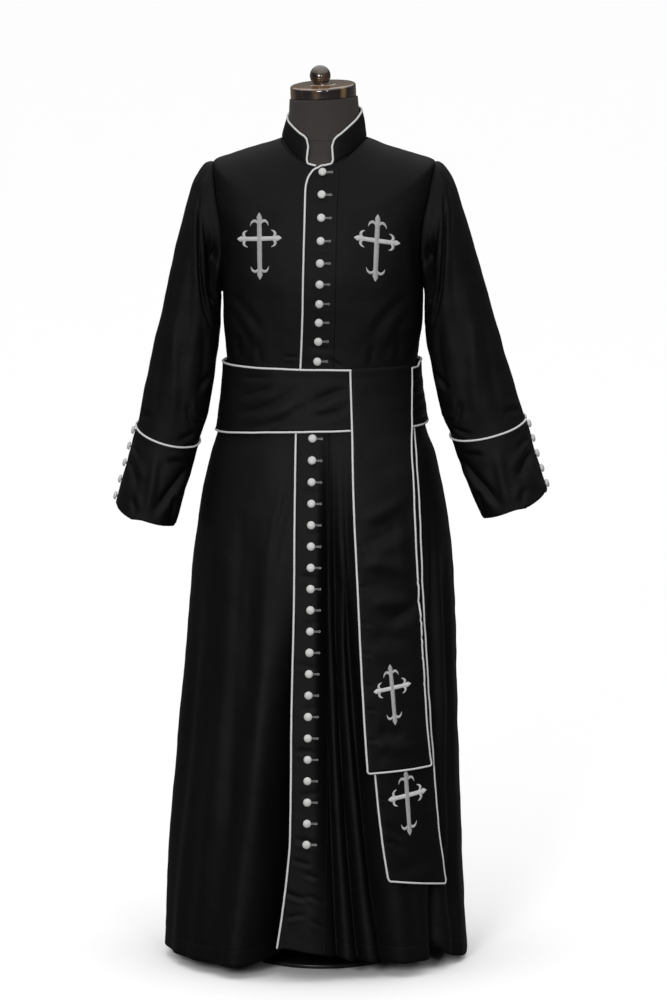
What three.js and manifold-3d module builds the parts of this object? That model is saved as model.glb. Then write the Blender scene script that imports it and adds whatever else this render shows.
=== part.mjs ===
// A clergy robe with its band cincture, filled out on a limbless dress form.
// Millimetres, +Z up. The front faces -Y, and the wearer's left is +X.
// The origin is the centre of the underside of the stand's base.
// Every panel of cloth is a thin wall on one smooth "robe surface", which is worked out from
// tables of horizontal or tilted sections. Whatever lies on a panel is made from the same
// surface, moved out along its normal.

import * as THREE from "three";
import { mergeVertices } from "three/addons/utils/BufferGeometryUtils.js";
import Module from "manifold-3d";

const wasm = await Module();
wasm.setup();

// ---------- driving dimensions ----------

const CLOTH = 1.6; // wall of a single panel
const LINED_CLOTH = 1.9; // wall of the collar, the band and the tails
const SEAM_GAP = 0.3; // between two pieces that are sewn edge to edge
const LAY_GAP = 0.5; // under a piece that lies on a panel
const PIPING_RADIUS = 1.9;
const PIPING_SIDES = 6;
const PIPING_GAP = 0.5; // between the piping and the edge that it binds
const PIPING_CORNER = 0.72; // a corner's point, as a share of the way out to the square corner
const PIPING_CROSSING = { x: -0.5, z: 1494.5 }; // where it crosses itself at the pit of the neck

const WAIST_SEAM = 1110; // height of the seam between bodice and skirt
const PLACKET_WALL = 1.5;
const BUTTON_RADIUS = 7.6;
const BUTTON_HEIGHT = 6;
const BUTTON_FACETS = 8;
const BUTTON_IN_FROM_EDGE = 28.5; // from the placket's piped edge to the button's centre
const BUTTON_LINE = 7.2; // largest x of a button's centre, where the edge curves in at the top

const BAND_LIFT = 5.4; // from the robe to the inner face of the band, over the front piping
const BAND_PIPING_LIFT = 7; // to the centre of the band's piping
const BAND_END_ANGLE = 38; // where the band's two ends meet, behind the tails
const BAND_END_GAP = 5.5;
const CUFF_LIFT = 0.5;
const CROSS_GAP = 0.9; // behind a cross, where the panel is most curved
const CROSS_WALL = 1.2;
const CROSS_HEIGHT = 122;

// From the cloth to the dress form: clear at the neckline, resting on the shoulders, loose below.
const FORM_CLEARANCE = [
  { row: 0, gap: 2 },
  { row: 1, gap: 0.6 },
  { row: 3, gap: 0.6 },
  { row: 8, gap: 7 },
];

// A table with named columns, whose rows start with the name of a section or a fold.
function table(columns, rows) {
  const keys = ["name", ...columns.split(" ")];
  return rows.map((row) => Object.fromEntries(keys.map((key, i) => [key, row[i]])));
}

// ---------- sections ----------
// left, right: half-widths towards -X and +X; front, back: depths towards -Y and +Y;
// zFront, zSide, zBack: heights of the section's front, sides and back;
// square: 2 is an ellipse, more is squarer.

const TORSO = table("left right front back zFront zSide zBack square", [
  ["neckline", 75, 83, 85, 66, 1496, 1543, 1552, 2],
  ["collarbone", 118, 124, 98, 85, 1471, 1529, 1534, 2.1],
  ["shoulder", 165, 171, 110, 98, 1443, 1515, 1509, 2.3],
  ["shoulder tip", 202, 210, 120, 109, 1408, 1497, 1474, 2.5],
  ["top of armhole", 203, 209, 128, 116, 1370, 1450, 1425, 2.6],
  ["armhole", 195, 200, 134, 121, 1330, 1390, 1370, 2.6],
  ["chest", 188, 192, 137, 122, 1290, 1322, 1310, 2.6],
  ["underarm", 185, 188, 135, 119, 1248, 1258, 1252, 2.5],
  ["ribs", 184, 186, 131, 114, 1203, 1203, 1203, 2.4],
  ["above the waist", 180, 181, 127, 109, 1160, 1160, 1160, 2.3],
  ["waist", 178, 178, 125, 107, 1128, 1128, 1128, 2.3],
  ["waist seam", 178, 178, 125, 107, 1110, 1110, 1110, 2.3],
]);

const SKIRT = table("z left right front back square", [
  ["waist seam", 1110, 178, 178, 125, 107, 2.3],
  ["under the band", 1060, 183, 183, 130, 114, 2.3],
  ["below the band", 1005, 191, 193, 141, 127, 2.3],
  ["high hip", 955, 207, 211, 157, 144, 2.3],
  ["hip", 887, 224, 226, 173, 164, 2.3],
  ["thigh", 774, 240, 243, 192, 187, 2.3],
  ["above the knee", 674, 249, 249, 204, 203, 2.3],
  ["knee", 558, 258, 253, 217, 219, 2.3],
  ["calf", 370, 276, 258, 237, 242, 2.3],
  ["shin", 140, 293, 267, 254, 263, 2.3],
  ["hem", 0, 299, 276, 262, 272, 2.3],
]);

// Height of the hem round the robe. Angles run from the front (0) to the wearer's left (90).
const HEM = [
  { angle: -180, z: 16 },
  { angle: -135, z: 15 },
  { angle: -90, z: 20 },
  { angle: -50, z: 22 },
  { angle: -24, z: 24 },
  { angle: -14, z: 44 },
  { angle: -8, z: 64 },
  { angle: 0, z: 56 },
  { angle: 14, z: 38 },
  { angle: 40, z: 28 },
  { angle: 62, z: 30 },
  { angle: 90, z: 9 },
  { angle: 135, z: 14 },
  { angle: 180, z: 16 },
];

// Folds that fall from the waist. top and hem: angle at the waist seam and at the hem;
// starts: height at which the fold begins to show; depth: out (+) or in (-) at the hem;
// width: half-width in degrees.
const FOLDS = table("top hem starts depth width", [
  ["beside the placket", -6, -15.5, 660, -46, 4.2],
  ["high crease beside the placket", -7, -20, 970, -7, 3],
  ["wearer's right lobe", -16, -27, 720, 9, 7],
  ["wearer's right, first trough", -26, -39, 920, -10, 5],
  ["wearer's right, second trough", -45, -57, 860, -11, 5],
  ["wearer's right, third trough", -62, -73, 780, -12, 5],
  ["right of the placket", 11, 8.5, 980, -20, 3],
  ["left of the front tail", 16, 21, 950, -24, 3.5],
  ["under the tails", 30, 36, 860, -16, 5],
  ["beside the rear tail", 62, 54, 940, -24, 4],
  ["wearer's left side", 76, 72, 860, -12, 4],
  ["back, first trough", 112, 108, 940, -26, 5.5],
  ["back, second trough", 135, 131, 990, -34, 5.5],
  ["back, third trough", 158, 155, 1020, -38, 5],
  ["back, centre ridge", 176, 178, 960, 10, 7],
  ["back, fourth trough", 199, 203, 1020, -40, 5],
  ["back, fifth trough", 222, 228, 960, -32, 6],
  ["back, sixth trough", 246, 252, 920, -22, 5.5],
]);

// The standing collar's top edge: its section, and its height round the neck from the
// opening's right edge (-20) over the back to the opening's left edge (+20).
const COLLAR_TOP = { left: 66, right: 75, front: 79, back: 61, square: 2 };
const COLLAR_OPENING = 20; // degrees either side of the front
const COLLAR_RISE = 0.8; // from the neckline's edge up to the collar's foot
const COLLAR_EDGE = [
  { angle: 20, z: 1534 },
  { angle: 23, z: 1544 },
  { angle: 33, z: 1554 },
  { angle: 55, z: 1572 },
  { angle: 90, z: 1592 },
  { angle: 180, z: 1601 },
  { angle: 270, z: 1581 },
  { angle: 303, z: 1568 },
  { angle: 323, z: 1555 },
  { angle: 337, z: 1545 },
  { angle: 340, z: 1534 },
];

// The sleeves are rings between an outer and an inner point of the arm's outline, seen from
// the front. deep: half-depth; centre: place in Y; drop: how far the front hangs below the back.
const RIGHT_ARM = table("outerX outerZ innerX innerZ deep centre drop", [
  ["inside the armhole", -160, 1490, -162, 1276, 60, 4, 0],
  ["armhole", -206, 1499, -183, 1264, 66, 4, 0],
  ["sleeve head", -234, 1474, -188, 1251, 69, 2, 2],
  ["under the head", -250, 1429, -189.5, 1230, 69, 0, 4],
  ["upper arm", -269, 1358, -189.5, 1198, 67, -2, 6],
  ["above the elbow", -286, 1282, -192, 1165, 64, -4, 8],
  ["elbow", -303, 1205, -197, 1132, 62, -6, 9],
  ["forearm", -320, 1132, -203, 1085, 60, -9, 11],
  ["lower forearm", -335, 1060, -213, 1028, 57, -12, 13],
  ["cuff top", -345.5, 1004, -231, 974, 55.5, -14.6, 15],
  ["cuff middle", -364, 933, -252, 900, 56, -18, 15],
  ["cuff end", -384, 860, -274, 824, 58, -22, 15],
]);
const LEFT_ARM = table("outerX outerZ innerX innerZ deep centre drop", [
  ["inside the armhole", 162, 1492, 164, 1278, 60, 4, 0],
  ["armhole", 212, 1501, 186, 1266, 66, 4, 0],
  ["sleeve head", 239, 1477, 190.5, 1254, 69, 2, 2],
  ["under the head", 257, 1429, 191.5, 1234, 69, 0, 4],
  ["upper arm", 278, 1362, 191, 1203, 67, -2, 6],
  ["above the elbow", 299, 1291, 194, 1169, 64, -4, 8],
  ["elbow", 321, 1214, 201, 1137, 62, -6, 9],
  ["forearm", 342, 1142, 210, 1090, 60, -9, 11],
  ["lower forearm", 363, 1074, 223, 1036, 57, -12, 13],
  ["cuff top", 379, 1022, 242.5, 991, 55.5, -14.6, 15],
  ["cuff middle", 397, 958, 270, 915, 56, -18, 15],
  ["cuff end", 419, 892, 301, 844, 58, -22, 15],
]);
const CUFF_TOP = RIGHT_ARM.findIndex((row) => row.name === "cuff top");
const SLEEVE_UNDER_CUFF = 0.18; // how far the sleeve runs on under the cuff, in rows

// The placket: x of its piped edge and of its stitched edge, by height.
const PLACKET = [
  { z: 1491, edge: -5, stitch: 30 },
  { z: 1481, edge: -13, stitch: 36 },
  { z: 1471, edge: -18, stitch: 38 },
  { z: 1455, edge: -21, stitch: 37 },
  { z: 1400, edge: -21.5, stitch: 36 },
  { z: 1260, edge: -23.5, stitch: 34 },
  { z: 1143, edge: -28, stitch: 30 },
  { z: 1000, edge: -36, stitch: 23 },
  { z: 707, edge: -35.5, stitch: 23 },
  { z: 524, edge: -38, stitch: 24 },
  { z: 267, edge: -39.5, stitch: 25 },
  { z: 193, edge: -45, stitch: 24.5 },
  { z: 120, edge: -54, stitch: 24 },
  { z: 56, edge: -64, stitch: 23 },
];

// The band's edges round the waist.
const BAND = [
  { angle: -180, top: 1128, bottom: 1006 },
  { angle: -90, top: 1125, bottom: 1000 },
  { angle: 0, top: 1123, bottom: 1013.5 },
  { angle: 16, top: 1122.5, bottom: 1015 },
  { angle: 24, top: 1118.5, bottom: 1016 },
  { angle: 76, top: 1120, bottom: 1018 },
  { angle: 82, top: 1127.5, bottom: 1019 },
  { angle: 90, top: 1129, bottom: 1020 },
  { angle: 180, top: 1128, bottom: 1006 },
];

// The tails: x of both edges by height, down the front of the skirt.
const FRONT_TAIL = [
  { z: 1132, left: 61.5, right: 169 },
  { z: 1070, left: 63.5, right: 170 },
  { z: 1000, left: 66.5, right: 171.5 },
  { z: 890, left: 71, right: 179 },
  { z: 746, left: 79, right: 188 },
  { z: 600, left: 86.5, right: 197 },
  { z: 453, left: 95.5, right: 207 },
  { z: 392, left: 100, right: 214.5 },
];
const REAR_TAIL = [
  { z: 1050, left: 66, right: 172 },
  { z: 998, left: 70, right: 177 },
  { z: 884, left: 80, right: 187.5 },
  { z: 664, left: 92, right: 199 },
  { z: 393, left: 110, right: 217 },
  { z: 266, left: 126, right: 227 },
  { z: 172, left: 142, right: 239 },
];
const FRONT_TAIL_END_RISE = { left: 0, right: 4 }; // the end's corners, above the lowest height
const REAR_TAIL_END_RISE = { left: 18, right: -4 };

// The dress form above and below the part that the robe's bodice covers.
const FORM_NECK = table("left right front back zFront zSide zBack square", [
  ["under the cap", 57, 62, 60, 50, 1616, 1616, 1616, 2],
  ["neck", 57, 62, 61, 50, 1586, 1586, 1586, 2],
  ["root of the neck", 63, 70, 70, 56, 1515, 1554, 1566, 2],
]);
const FORM_HIPS = table("left right front back z square", [
  ["waist", 163, 163, 111, 95, 1110, 2.3],
  ["upper hip", 167, 167, 116, 106, 1040, 2.3],
  ["hip", 172, 172, 124, 120, 960, 2.3],
  ["below the hip", 170, 170, 124, 122, 895, 2.3],
  ["rounded end", 160, 160, 116, 114, 872, 2.3],
  ["underside", 140, 140, 98, 96, 862, 2.2],
]);
const CAP_RADIUS = 61.5;
const CAP_RIM = 19;
const CAP_TILT_SIDE = 3.5; // degrees
const CAP_TILT_FRONT = 5;
const CAP_CENTRE = { x: 2.6, y: -3, z: 1623 };
const BALL_RADIUS = 17.5;
const POLE_RADIUS = 16;
const BASE_RADIUS = 140;

// ---------- materials ----------

function finish(colour, roughness, metalness = 0) {
  return new THREE.MeshStandardMaterial({ color: colour, roughness, metalness });
}
const ROBE_CLOTH = finish("#141415", 0.62);
const PIPING = finish("#d9d9d9", 0.55);
const BUTTON_CLOTH = finish("#cfcfcf", 0.6);
const EMBROIDERY = finish("#c9c9c9", 0.5);
const JERSEY = finish("#3a3634", 0.9);
const CAP_FINISH = finish("#2a1a14", 0.15);
const STAND_FINISH = finish("#1b1b1c", 0.4, 0.3);

// ---------- curves through tables ----------

// A smooth curve through values at rising places, with no overshoot.
function smoothThrough(places, values) {
  const last = places.length - 1;
  const steps = places.slice(1).map((place, i) => place - places[i]);
  const slopes = steps.map((step, i) => (values[i + 1] - values[i]) / step);
  const tangents = values.map((_, i) => {
    if (i === 0) return slopes[0];
    if (i === last) return slopes[last - 1];
    const before = slopes[i - 1];
    const after = slopes[i];
    if (before * after <= 0) return 0;
    const weightBefore = 2 * steps[i] + steps[i - 1];
    const weightAfter = steps[i] + 2 * steps[i - 1];
    return (weightBefore + weightAfter) / (weightBefore / before + weightAfter / after);
  });
  return (place) => {
    const clamped = THREE.MathUtils.clamp(place, places[0], places[last]);
    let i = 0;
    while (i < last - 1 && clamped > places[i + 1]) i += 1;
    const step = steps[i];
    const t = (clamped - places[i]) / step;
    const start = values[i] * (1 + 2 * t) + tangents[i] * step * t;
    const end = values[i + 1] * (3 - 2 * t) - tangents[i + 1] * step * (1 - t);
    return start * (1 - t) ** 2 + end * t ** 2;
  };
}

// Every numeric column of a table as one smooth curve over the table's place column.
function tableCurve(rows, placeOf) {
  const rising = rows.map((row, i) => ({ row, place: placeOf(row, i) }));
  rising.sort((a, b) => a.place - b.place);
  const places = rising.map((entry) => entry.place);
  const keys = Object.keys(rows[0]).filter((key) => typeof rows[0][key] === "number");
  const curves = keys.map((key) => smoothThrough(places, rising.map((entry) => entry.row[key])));
  return (place) => Object.fromEntries(keys.map((key, i) => [key, curves[i](place)]));
}

const torsoSection = tableCurve(TORSO, (_, i) => i);
const skirtSection = tableCurve(SKIRT, (row) => row.z);
const hemHeight = tableCurve(HEM, (row) => row.angle);
const collarEdge = tableCurve(COLLAR_EDGE, (row) => row.angle);
const placketEdges = tableCurve(PLACKET, (row) => row.z);
const bandEdges = tableCurve(BAND, (row) => row.angle);
const frontTailEdges = tableCurve(FRONT_TAIL, (row) => row.z);
const rearTailEdges = tableCurve(REAR_TAIL, (row) => row.z);
const formClearance = tableCurve(FORM_CLEARANCE, (entry) => entry.row);

// ---------- surfaces ----------

const { degToRad, radToDeg, clamp, lerp, smoothstep } = THREE.MathUtils;

function wrapAngle(angle) {
  return ((((angle + 180) % 360) + 360) % 360) - 180;
}

// The point of a section at an angle from the front, turning towards the wearer's left.
function onSection(section, angle) {
  const sine = Math.sin(degToRad(angle));
  const cosine = Math.cos(degToRad(angle));
  const power = 2 / section.square;
  const width = sine < 0 ? section.left : section.right;
  const depth = cosine > 0 ? section.front : section.back;
  const side = section.zSide ?? section.z;
  const end = (cosine > 0 ? section.zFront : section.zBack) ?? section.z;
  return new THREE.Vector3(
    width * Math.sign(sine) * Math.abs(sine) ** power,
    -depth * Math.sign(cosine) * Math.abs(cosine) ** power,
    lerp(side, end, cosine ** 2),
  );
}

// The angle at which a section's front half has the given x.
function angleAtX(section, x) {
  const width = x < 0 ? section.left : section.right;
  const sine = Math.min(Math.abs(x) / width, 1) ** (section.square / 2);
  return Math.sign(x) * radToDeg(Math.asin(sine));
}

function torso(angle, row) {
  return onSection(torsoSection(row), angle);
}

function foldDepth(angle, z) {
  return FOLDS.reduce((sum, fold) => {
    const bottom = hemHeight(wrapAngle(fold.hem)).z;
    const fallen = clamp((WAIST_SEAM - z) / (WAIST_SEAM - bottom), 0, 1);
    const away = wrapAngle(angle - lerp(fold.top, fold.hem, fallen)) / fold.width;
    const grown = smoothstep(fold.starts - z, 0, fold.starts - bottom);
    return sum + fold.depth * grown * Math.exp(-(away ** 2));
  }, 0);
}

// The skirt: row runs from 0 at the waist seam to 1 at the hem.
function skirt(angle, row) {
  const z = lerp(WAIST_SEAM, hemHeight(wrapAngle(angle)).z, row);
  const point = onSection(skirtSection(z), angle);
  const flat = Math.hypot(point.x, point.y);
  const scale = (flat + foldDepth(angle, z)) / flat;
  return new THREE.Vector3(point.x * scale, point.y * scale, z);
}

// The robe's front with no folds in it, by x and height.
function robeFront(x, z) {
  if (z <= WAIST_SEAM) {
    const section = skirtSection(z);
    const point = onSection({ ...section, z }, angleAtX(section, x));
    return new THREE.Vector3(x, point.y, z);
  }
  let high = 0;
  let low = TORSO.length - 1;
  for (let i = 0; i < 30; i += 1) {
    const middle = (high + low) / 2;
    const section = torsoSection(middle);
    if (onSection(section, angleAtX(section, x)).z > z) high = middle;
    else low = middle;
  }
  const section = torsoSection(low);
  const point = onSection(section, angleAtX(section, x));
  return new THREE.Vector3(x, point.y, z);
}

// A point moved out from the front of the robe.
function onFront(x, z, lift = 0) {
  const probe = 3;
  const point = robeFront(x, z);
  const across = robeFront(x + probe, z).sub(robeFront(x - probe, z));
  const up = robeFront(x, z + probe).sub(robeFront(x, z - probe));
  const out = across.cross(up).normalize();
  return point.addScaledVector(out, lift);
}

// A sleeve with its cuff, as a tube through the rings of its table. Angle 0 is its outer side.
function armSurface(rows) {
  const ringAt = tableCurve(rows, (_, i) => i);
  const side = Math.sign(rows[0].outerX);
  return (angle, row) => {
    const ring = ringAt(row);
    const cosine = Math.cos(degToRad(angle));
    const sine = -side * Math.sin(degToRad(angle));
    const shift = (1 + cosine) / 2;
    return new THREE.Vector3(
      lerp(ring.innerX, ring.outerX, shift),
      ring.centre - ring.deep * sine,
      lerp(ring.innerZ, ring.outerZ, shift) - ring.drop * sine,
    );
  };
}

// The robe's front by x and row: torso rows first, and then the skirt, from 0 to 1, as one
// more row. The robe's panels use the same rows, so that what lies on them fits.
const WAIST_ROW = TORSO.length - 1;

function rowHeight(row) {
  if (row <= WAIST_ROW) return torsoSection(row).zFront;
  return lerp(WAIST_SEAM, hemHeight(0).z, row - WAIST_ROW);
}

function robeRow(x, row) {
  if (row <= WAIST_ROW) {
    const section = torsoSection(row);
    return onSection(section, angleAtX(section, x));
  }
  let z = rowHeight(row);
  for (let i = 0; i < 4; i += 1) {
    z = lerp(WAIST_SEAM, hemHeight(angleAtX(skirtSection(z), x)).z, row - WAIST_ROW);
  }
  return onSection({ ...skirtSection(z), z }, angleAtX(skirtSection(z), x));
}

// Points beside the edge of a sheet, in the sheet's own direction. The sheet lies to the
// right of the edge's way, seen from outside.
function besideEdge(points, outs, distance) {
  return points.map((point, i) => {
    const before = points[Math.max(i - 1, 0)];
    const after = points[Math.min(i + 1, points.length - 1)];
    const way = after.clone().sub(before).normalize();
    return point.clone().addScaledVector(way.cross(outs[i]).normalize(), distance);
  });
}

// A surface moved along its normal. Surfaces here take (across, down), and the normal of
// down x across points out of the cloth.
function lifted(surface, lift, stepAcross = 0.5, stepDown = 0.02) {
  return (across, down) => {
    const point = surface(across, down);
    const alongAcross = surface(across + stepAcross, down).sub(surface(across - stepAcross, down));
    const alongDown = surface(across, down + stepDown).sub(surface(across, down - stepDown));
    const out = alongDown.cross(alongAcross).normalize();
    return point.addScaledVector(out, typeof lift === "function" ? lift(across, down) : lift);
  };
}

// ---------- solids ----------

function evenly(start, end, count) {
  return Array.from({ length: count + 1 }, (_, i) => lerp(start, end, i / count));
}

function fromTriangles(points, triangles) {
  const geometry = new THREE.BufferGeometry();
  const places = points.flatMap((point) => point.toArray());
  geometry.setAttribute("position", new THREE.Float32BufferAttribute(places, 3));
  geometry.setIndex(triangles.flat());
  return geometry;
}

function solidOf(geometry) {
  const bare = geometry.clone();
  bare.deleteAttribute("normal");
  bare.deleteAttribute("uv");
  const merged = mergeVertices(bare, 1e-3);
  const mesh = { numProp: 3, vertProperties: merged.attributes.position.array };
  const triVerts = new Uint32Array(merged.index.array);
  const solid = new wasm.Manifold(new wasm.Mesh({ ...mesh, triVerts }));
  if (solid.volume() > 0) return solid;
  const flipped = new Uint32Array(merged.index.array);
  for (let i = 0; i < flipped.length; i += 3) {
    [flipped[i], flipped[i + 1]] = [flipped[i + 1], flipped[i]];
  }
  return new wasm.Manifold(new wasm.Mesh({ ...mesh, triVerts: flipped }));
}

function geometryOf(solid) {
  const mesh = solid.getMesh();
  const geometry = new THREE.BufferGeometry();
  const places = new Float32Array(mesh.numVert * 3);
  for (let i = 0; i < mesh.numVert; i += 1) {
    places.set(mesh.vertProperties.subarray(i * mesh.numProp, i * mesh.numProp + 3), i * 3);
  }
  geometry.setAttribute("position", new THREE.BufferAttribute(places, 3));
  geometry.setIndex(new THREE.BufferAttribute(new Uint32Array(mesh.triVerts), 1));
  return geometry;
}

// Faces turned so that they point out.
function facingOut(geometry) {
  return geometryOf(solidOf(geometry));
}

// The largest body of a solid, so that a sliver cut off by a boolean is left out.
function largestBody(solid) {
  return solid.decompose().reduce((best, body) => (body.volume() > best.volume() ? body : best));
}

// A wall between an outer and an inner surface over a grid. closed: the grid is a tube.
function wallBetween(outer, inner, acrossList, downList, closed = false) {
  const columns = closed ? acrossList.slice(0, -1) : acrossList;
  const sheets = [outer, inner].map((surface) =>
    downList.map((down) => columns.map((across) => surface(across, down))),
  );
  const points = sheets.flat(2);
  const width = columns.length;
  const height = downList.length;
  const out = (row, column) => row * width + (column % width);
  const within = (row, column) => out(row, column) + width * height;
  const triangles = [];
  const quad = (a, b, c, d) => triangles.push([a, b, c], [a, c, d]);
  const spans = closed ? width : width - 1;
  for (let i = 0; i < height - 1; i += 1) {
    for (let j = 0; j < spans; j += 1) {
      quad(out(i, j), out(i + 1, j), out(i + 1, j + 1), out(i, j + 1));
      quad(within(i, j), within(i, j + 1), within(i + 1, j + 1), within(i + 1, j));
    }
  }
  const foot = height - 1;
  for (let j = 0; j < spans; j += 1) {
    quad(out(0, j), out(0, j + 1), within(0, j + 1), within(0, j));
    quad(out(foot, j), within(foot, j), within(foot, j + 1), out(foot, j + 1));
  }
  if (!closed) {
    const side = width - 1;
    for (let i = 0; i < height - 1; i += 1) {
      quad(out(i, 0), within(i, 0), within(i + 1, 0), out(i + 1, 0));
      quad(out(i, side), out(i + 1, side), within(i + 1, side), within(i, side));
    }
  }
  return fromTriangles(points, triangles);
}

function wall(surface, acrossList, downList, outerLift, innerLift, closed = false) {
  const faces = [outerLift, innerLift].map((lift) => lifted(surface, lift));
  return wallBetween(...faces, acrossList, downList, closed);
}

// A solid through rings of points, closed by a fan at each end.
function solidThrough(rings) {
  const width = rings[0].length;
  const middle = (ring) => {
    const total = ring.reduce((sum, point) => sum.add(point), new THREE.Vector3());
    return total.divideScalar(width);
  };
  const points = [...rings.flat(), middle(rings[0]), middle(rings.at(-1))];
  const top = points.length - 2;
  const bottom = points.length - 1;
  const lastRing = (rings.length - 1) * width;
  const triangles = [];
  for (let column = 0; column < width; column += 1) {
    const next = (column + 1) % width;
    triangles.push([top, column, next], [bottom, lastRing + next, lastRing + column]);
    for (let row = 0; row < rings.length - 1; row += 1) {
      const upper = row * width;
      const lower = upper + width;
      triangles.push([upper + column, lower + column, lower + next]);
      triangles.push([upper + column, lower + next, upper + next]);
    }
  }
  return fromTriangles(points, triangles);
}

// A path through hand-placed or computed points, stepped exactly at those points.
class PointPath extends THREE.Curve {
  constructor(points) {
    super();
    this.points = points;
  }
  getPoint(t, target = new THREE.Vector3()) {
    const place = clamp(t, 0, 1) * (this.points.length - 1);
    const i = Math.min(Math.floor(place), this.points.length - 2);
    return target.lerpVectors(this.points[i], this.points[i + 1], place - i);
  }
  getUtoTmapping(u) {
    return u;
  }
  getTangent(t, target = new THREE.Vector3()) {
    const half = 0.5 / (this.points.length - 1);
    const before = this.getPoint(t - half);
    return target.subVectors(this.getPoint(t + half), before).normalize();
  }
}

function tubeAlong(points, radius = PIPING_RADIUS, sides = PIPING_SIDES) {
  const shape = new THREE.Shape();
  for (let i = 0; i < sides; i += 1) {
    const angle = (i / sides) * Math.PI * 2;
    const place = [radius * Math.cos(angle), radius * Math.sin(angle)];
    if (i === 0) shape.moveTo(...place);
    else shape.lineTo(...place);
  }
  const options = { steps: points.length - 1, extrudePath: new PointPath(points), bevelEnabled: false };
  return facingOut(new THREE.ExtrudeGeometry(shape, options));
}

function named(name, geometry, material) {
  geometry.computeVertexNormals();
  const mesh = new THREE.Mesh(geometry, material);
  mesh.name = name;
  return mesh;
}

// ---------- bodice ----------

const FRONT_COLUMNS = 10;
const BACK_COLUMNS = 14;
const BODICE_ROWS = 12;
// Rows of the skirt from the waist seam to the hem: closer where it spreads over the hips.
const SKIRT_ROWS = [0, 0.03, 0.06, 0.09, 0.12, 0.16, 0.22, 0.31, 0.43, 0.57, 0.71, 0.86, 1];
const SEAM_ANGLE = radToDeg(SEAM_GAP / 2 / 125); // half a seam's gap, at the narrowest radius

const torsoRows = evenly(0, WAIST_ROW, BODICE_ROWS);
torsoRows[BODICE_ROWS] -= SEAM_GAP / 2 / (TORSO.at(-2).zSide - TORSO.at(-1).zSide);

const PANELS = {
  right: { from: -90 + SEAM_ANGLE, to: -SEAM_ANGLE },
  left: { from: SEAM_ANGLE, to: 90 - SEAM_ANGLE },
  back: { from: 90 + SEAM_ANGLE, to: 270 - SEAM_ANGLE },
};

// The space inside a sleeve and the bulk of the torso, as solids to cut with.
function sleeveSpace(rows) {
  const inside = lifted(armSurface(rows), -CLOTH);
  const angles = evenly(0, 360, SLEEVE_COLUMNS).slice(0, -1);
  return solidOf(solidThrough(SLEEVE_ROWS.map((row) => angles.map((angle) => inside(angle, row)))));
}

const BODICE_ANGLES = [
  ...evenly(PANELS.right.from, PANELS.right.to, FRONT_COLUMNS),
  ...evenly(PANELS.left.from, PANELS.left.to, FRONT_COLUMNS),
  ...evenly(PANELS.back.from, PANELS.back.to, BACK_COLUMNS),
];

function torsoBulk() {
  const outside = lifted(torso, SEAM_GAP);
  return solidOf(solidThrough(torsoRows.map((row) => BODICE_ANGLES.map((angle) => outside(angle, row)))));
}

function bodicePanel(name, { from, to }, columns) {
  const panel = solidOf(wall(torso, evenly(from, to, columns), torsoRows, 0, -CLOTH));
  const open = panel.subtract(sleeveSpace(RIGHT_ARM)).subtract(sleeveSpace(LEFT_ARM));
  return named(name, geometryOf(largestBody(open)), ROBE_CLOTH);
}

function bodice() {
  return [
    bodicePanel("bodice_front_right", PANELS.right, FRONT_COLUMNS),
    bodicePanel("bodice_front_left", PANELS.left, FRONT_COLUMNS),
    bodicePanel("bodice_back", PANELS.back, BACK_COLUMNS),
  ];
}

// ---------- sleeves and cuffs ----------

const SLEEVE_COLUMNS = 18;
const SLEEVE_ROWS = [...evenly(0, CUFF_TOP, 11), CUFF_TOP + SLEEVE_UNDER_CUFF];
const CUFF_ROWS = [CUFF_TOP, CUFF_TOP + SLEEVE_UNDER_CUFF, CUFF_TOP + 1, CUFF_TOP + 2];

function sleeveMesh(name, rows) {
  const angles = evenly(0, 360, SLEEVE_COLUMNS);
  const whole = solidOf(wall(armSurface(rows), angles, SLEEVE_ROWS, 0, -CLOTH, true));
  return named(name, geometryOf(largestBody(whole.subtract(torsoBulk()))), ROBE_CLOTH);
}

function cuffMesh(name, rows) {
  const angles = evenly(0, 360, SLEEVE_COLUMNS);
  const geometry = wall(armSurface(rows), angles, CUFF_ROWS, CUFF_LIFT + CLOTH, CUFF_LIFT, true);
  return named(name, facingOut(geometry), ROBE_CLOTH);
}

// Round the cuff's top edge, from one side of its outer line to the other.
function cuffPiping(name, rows) {
  const side = Math.sign(rows[0].outerX);
  const edge = lifted(armSurface(rows), PIPING_RADIUS + CUFF_LIFT + SEAM_GAP);
  const above = PIPING_RADIUS + PIPING_GAP;
  const openDegrees = 3;
  const points = evenly(openDegrees, 360 - openDegrees, 22).map((turn) => {
    const point = edge(turn * side, CUFF_TOP);
    const along = edge(turn * side, CUFF_TOP + 0.05).sub(point).normalize();
    return point.addScaledVector(along, -above);
  });
  return named(name, tubeAlong(points), PIPING);
}

// ---------- skirt and placket ----------

// Columns of the skirt's panels, by their angle at the hem: one in each trough and on each
// ridge. Every column follows the folds up to the waist seam.
const SKIRT_COLUMNS = {
  right: [-90, -81, -73, -65, -57, -48, -39, -33, -27, -21, -15.5, -11, -5.5, 0],
  left: [0, 4, 8.5, 14.5, 21, 28, 36, 45, 54, 63, 72, 81, 90],
  back: [90, 99, 108, 120, 131, 143, 155, 167, 178, 190, 203, 215.5, 228, 240, 252, 261, 270],
};
const PANEL_SEAMS = [-90, 0, 90, 270].map((angle) => ({ top: angle, hem: angle }));
const guides = [...FOLDS, ...PANEL_SEAMS].map(({ top, hem }) => ({ top, hem }));
const foldsWay = tableCurve(guides, (guide) => guide.hem);

function skirtColumn(hemAngle, row) {
  return skirt(lerp(foldsWay(hemAngle).top, hemAngle, row), row);
}

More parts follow.
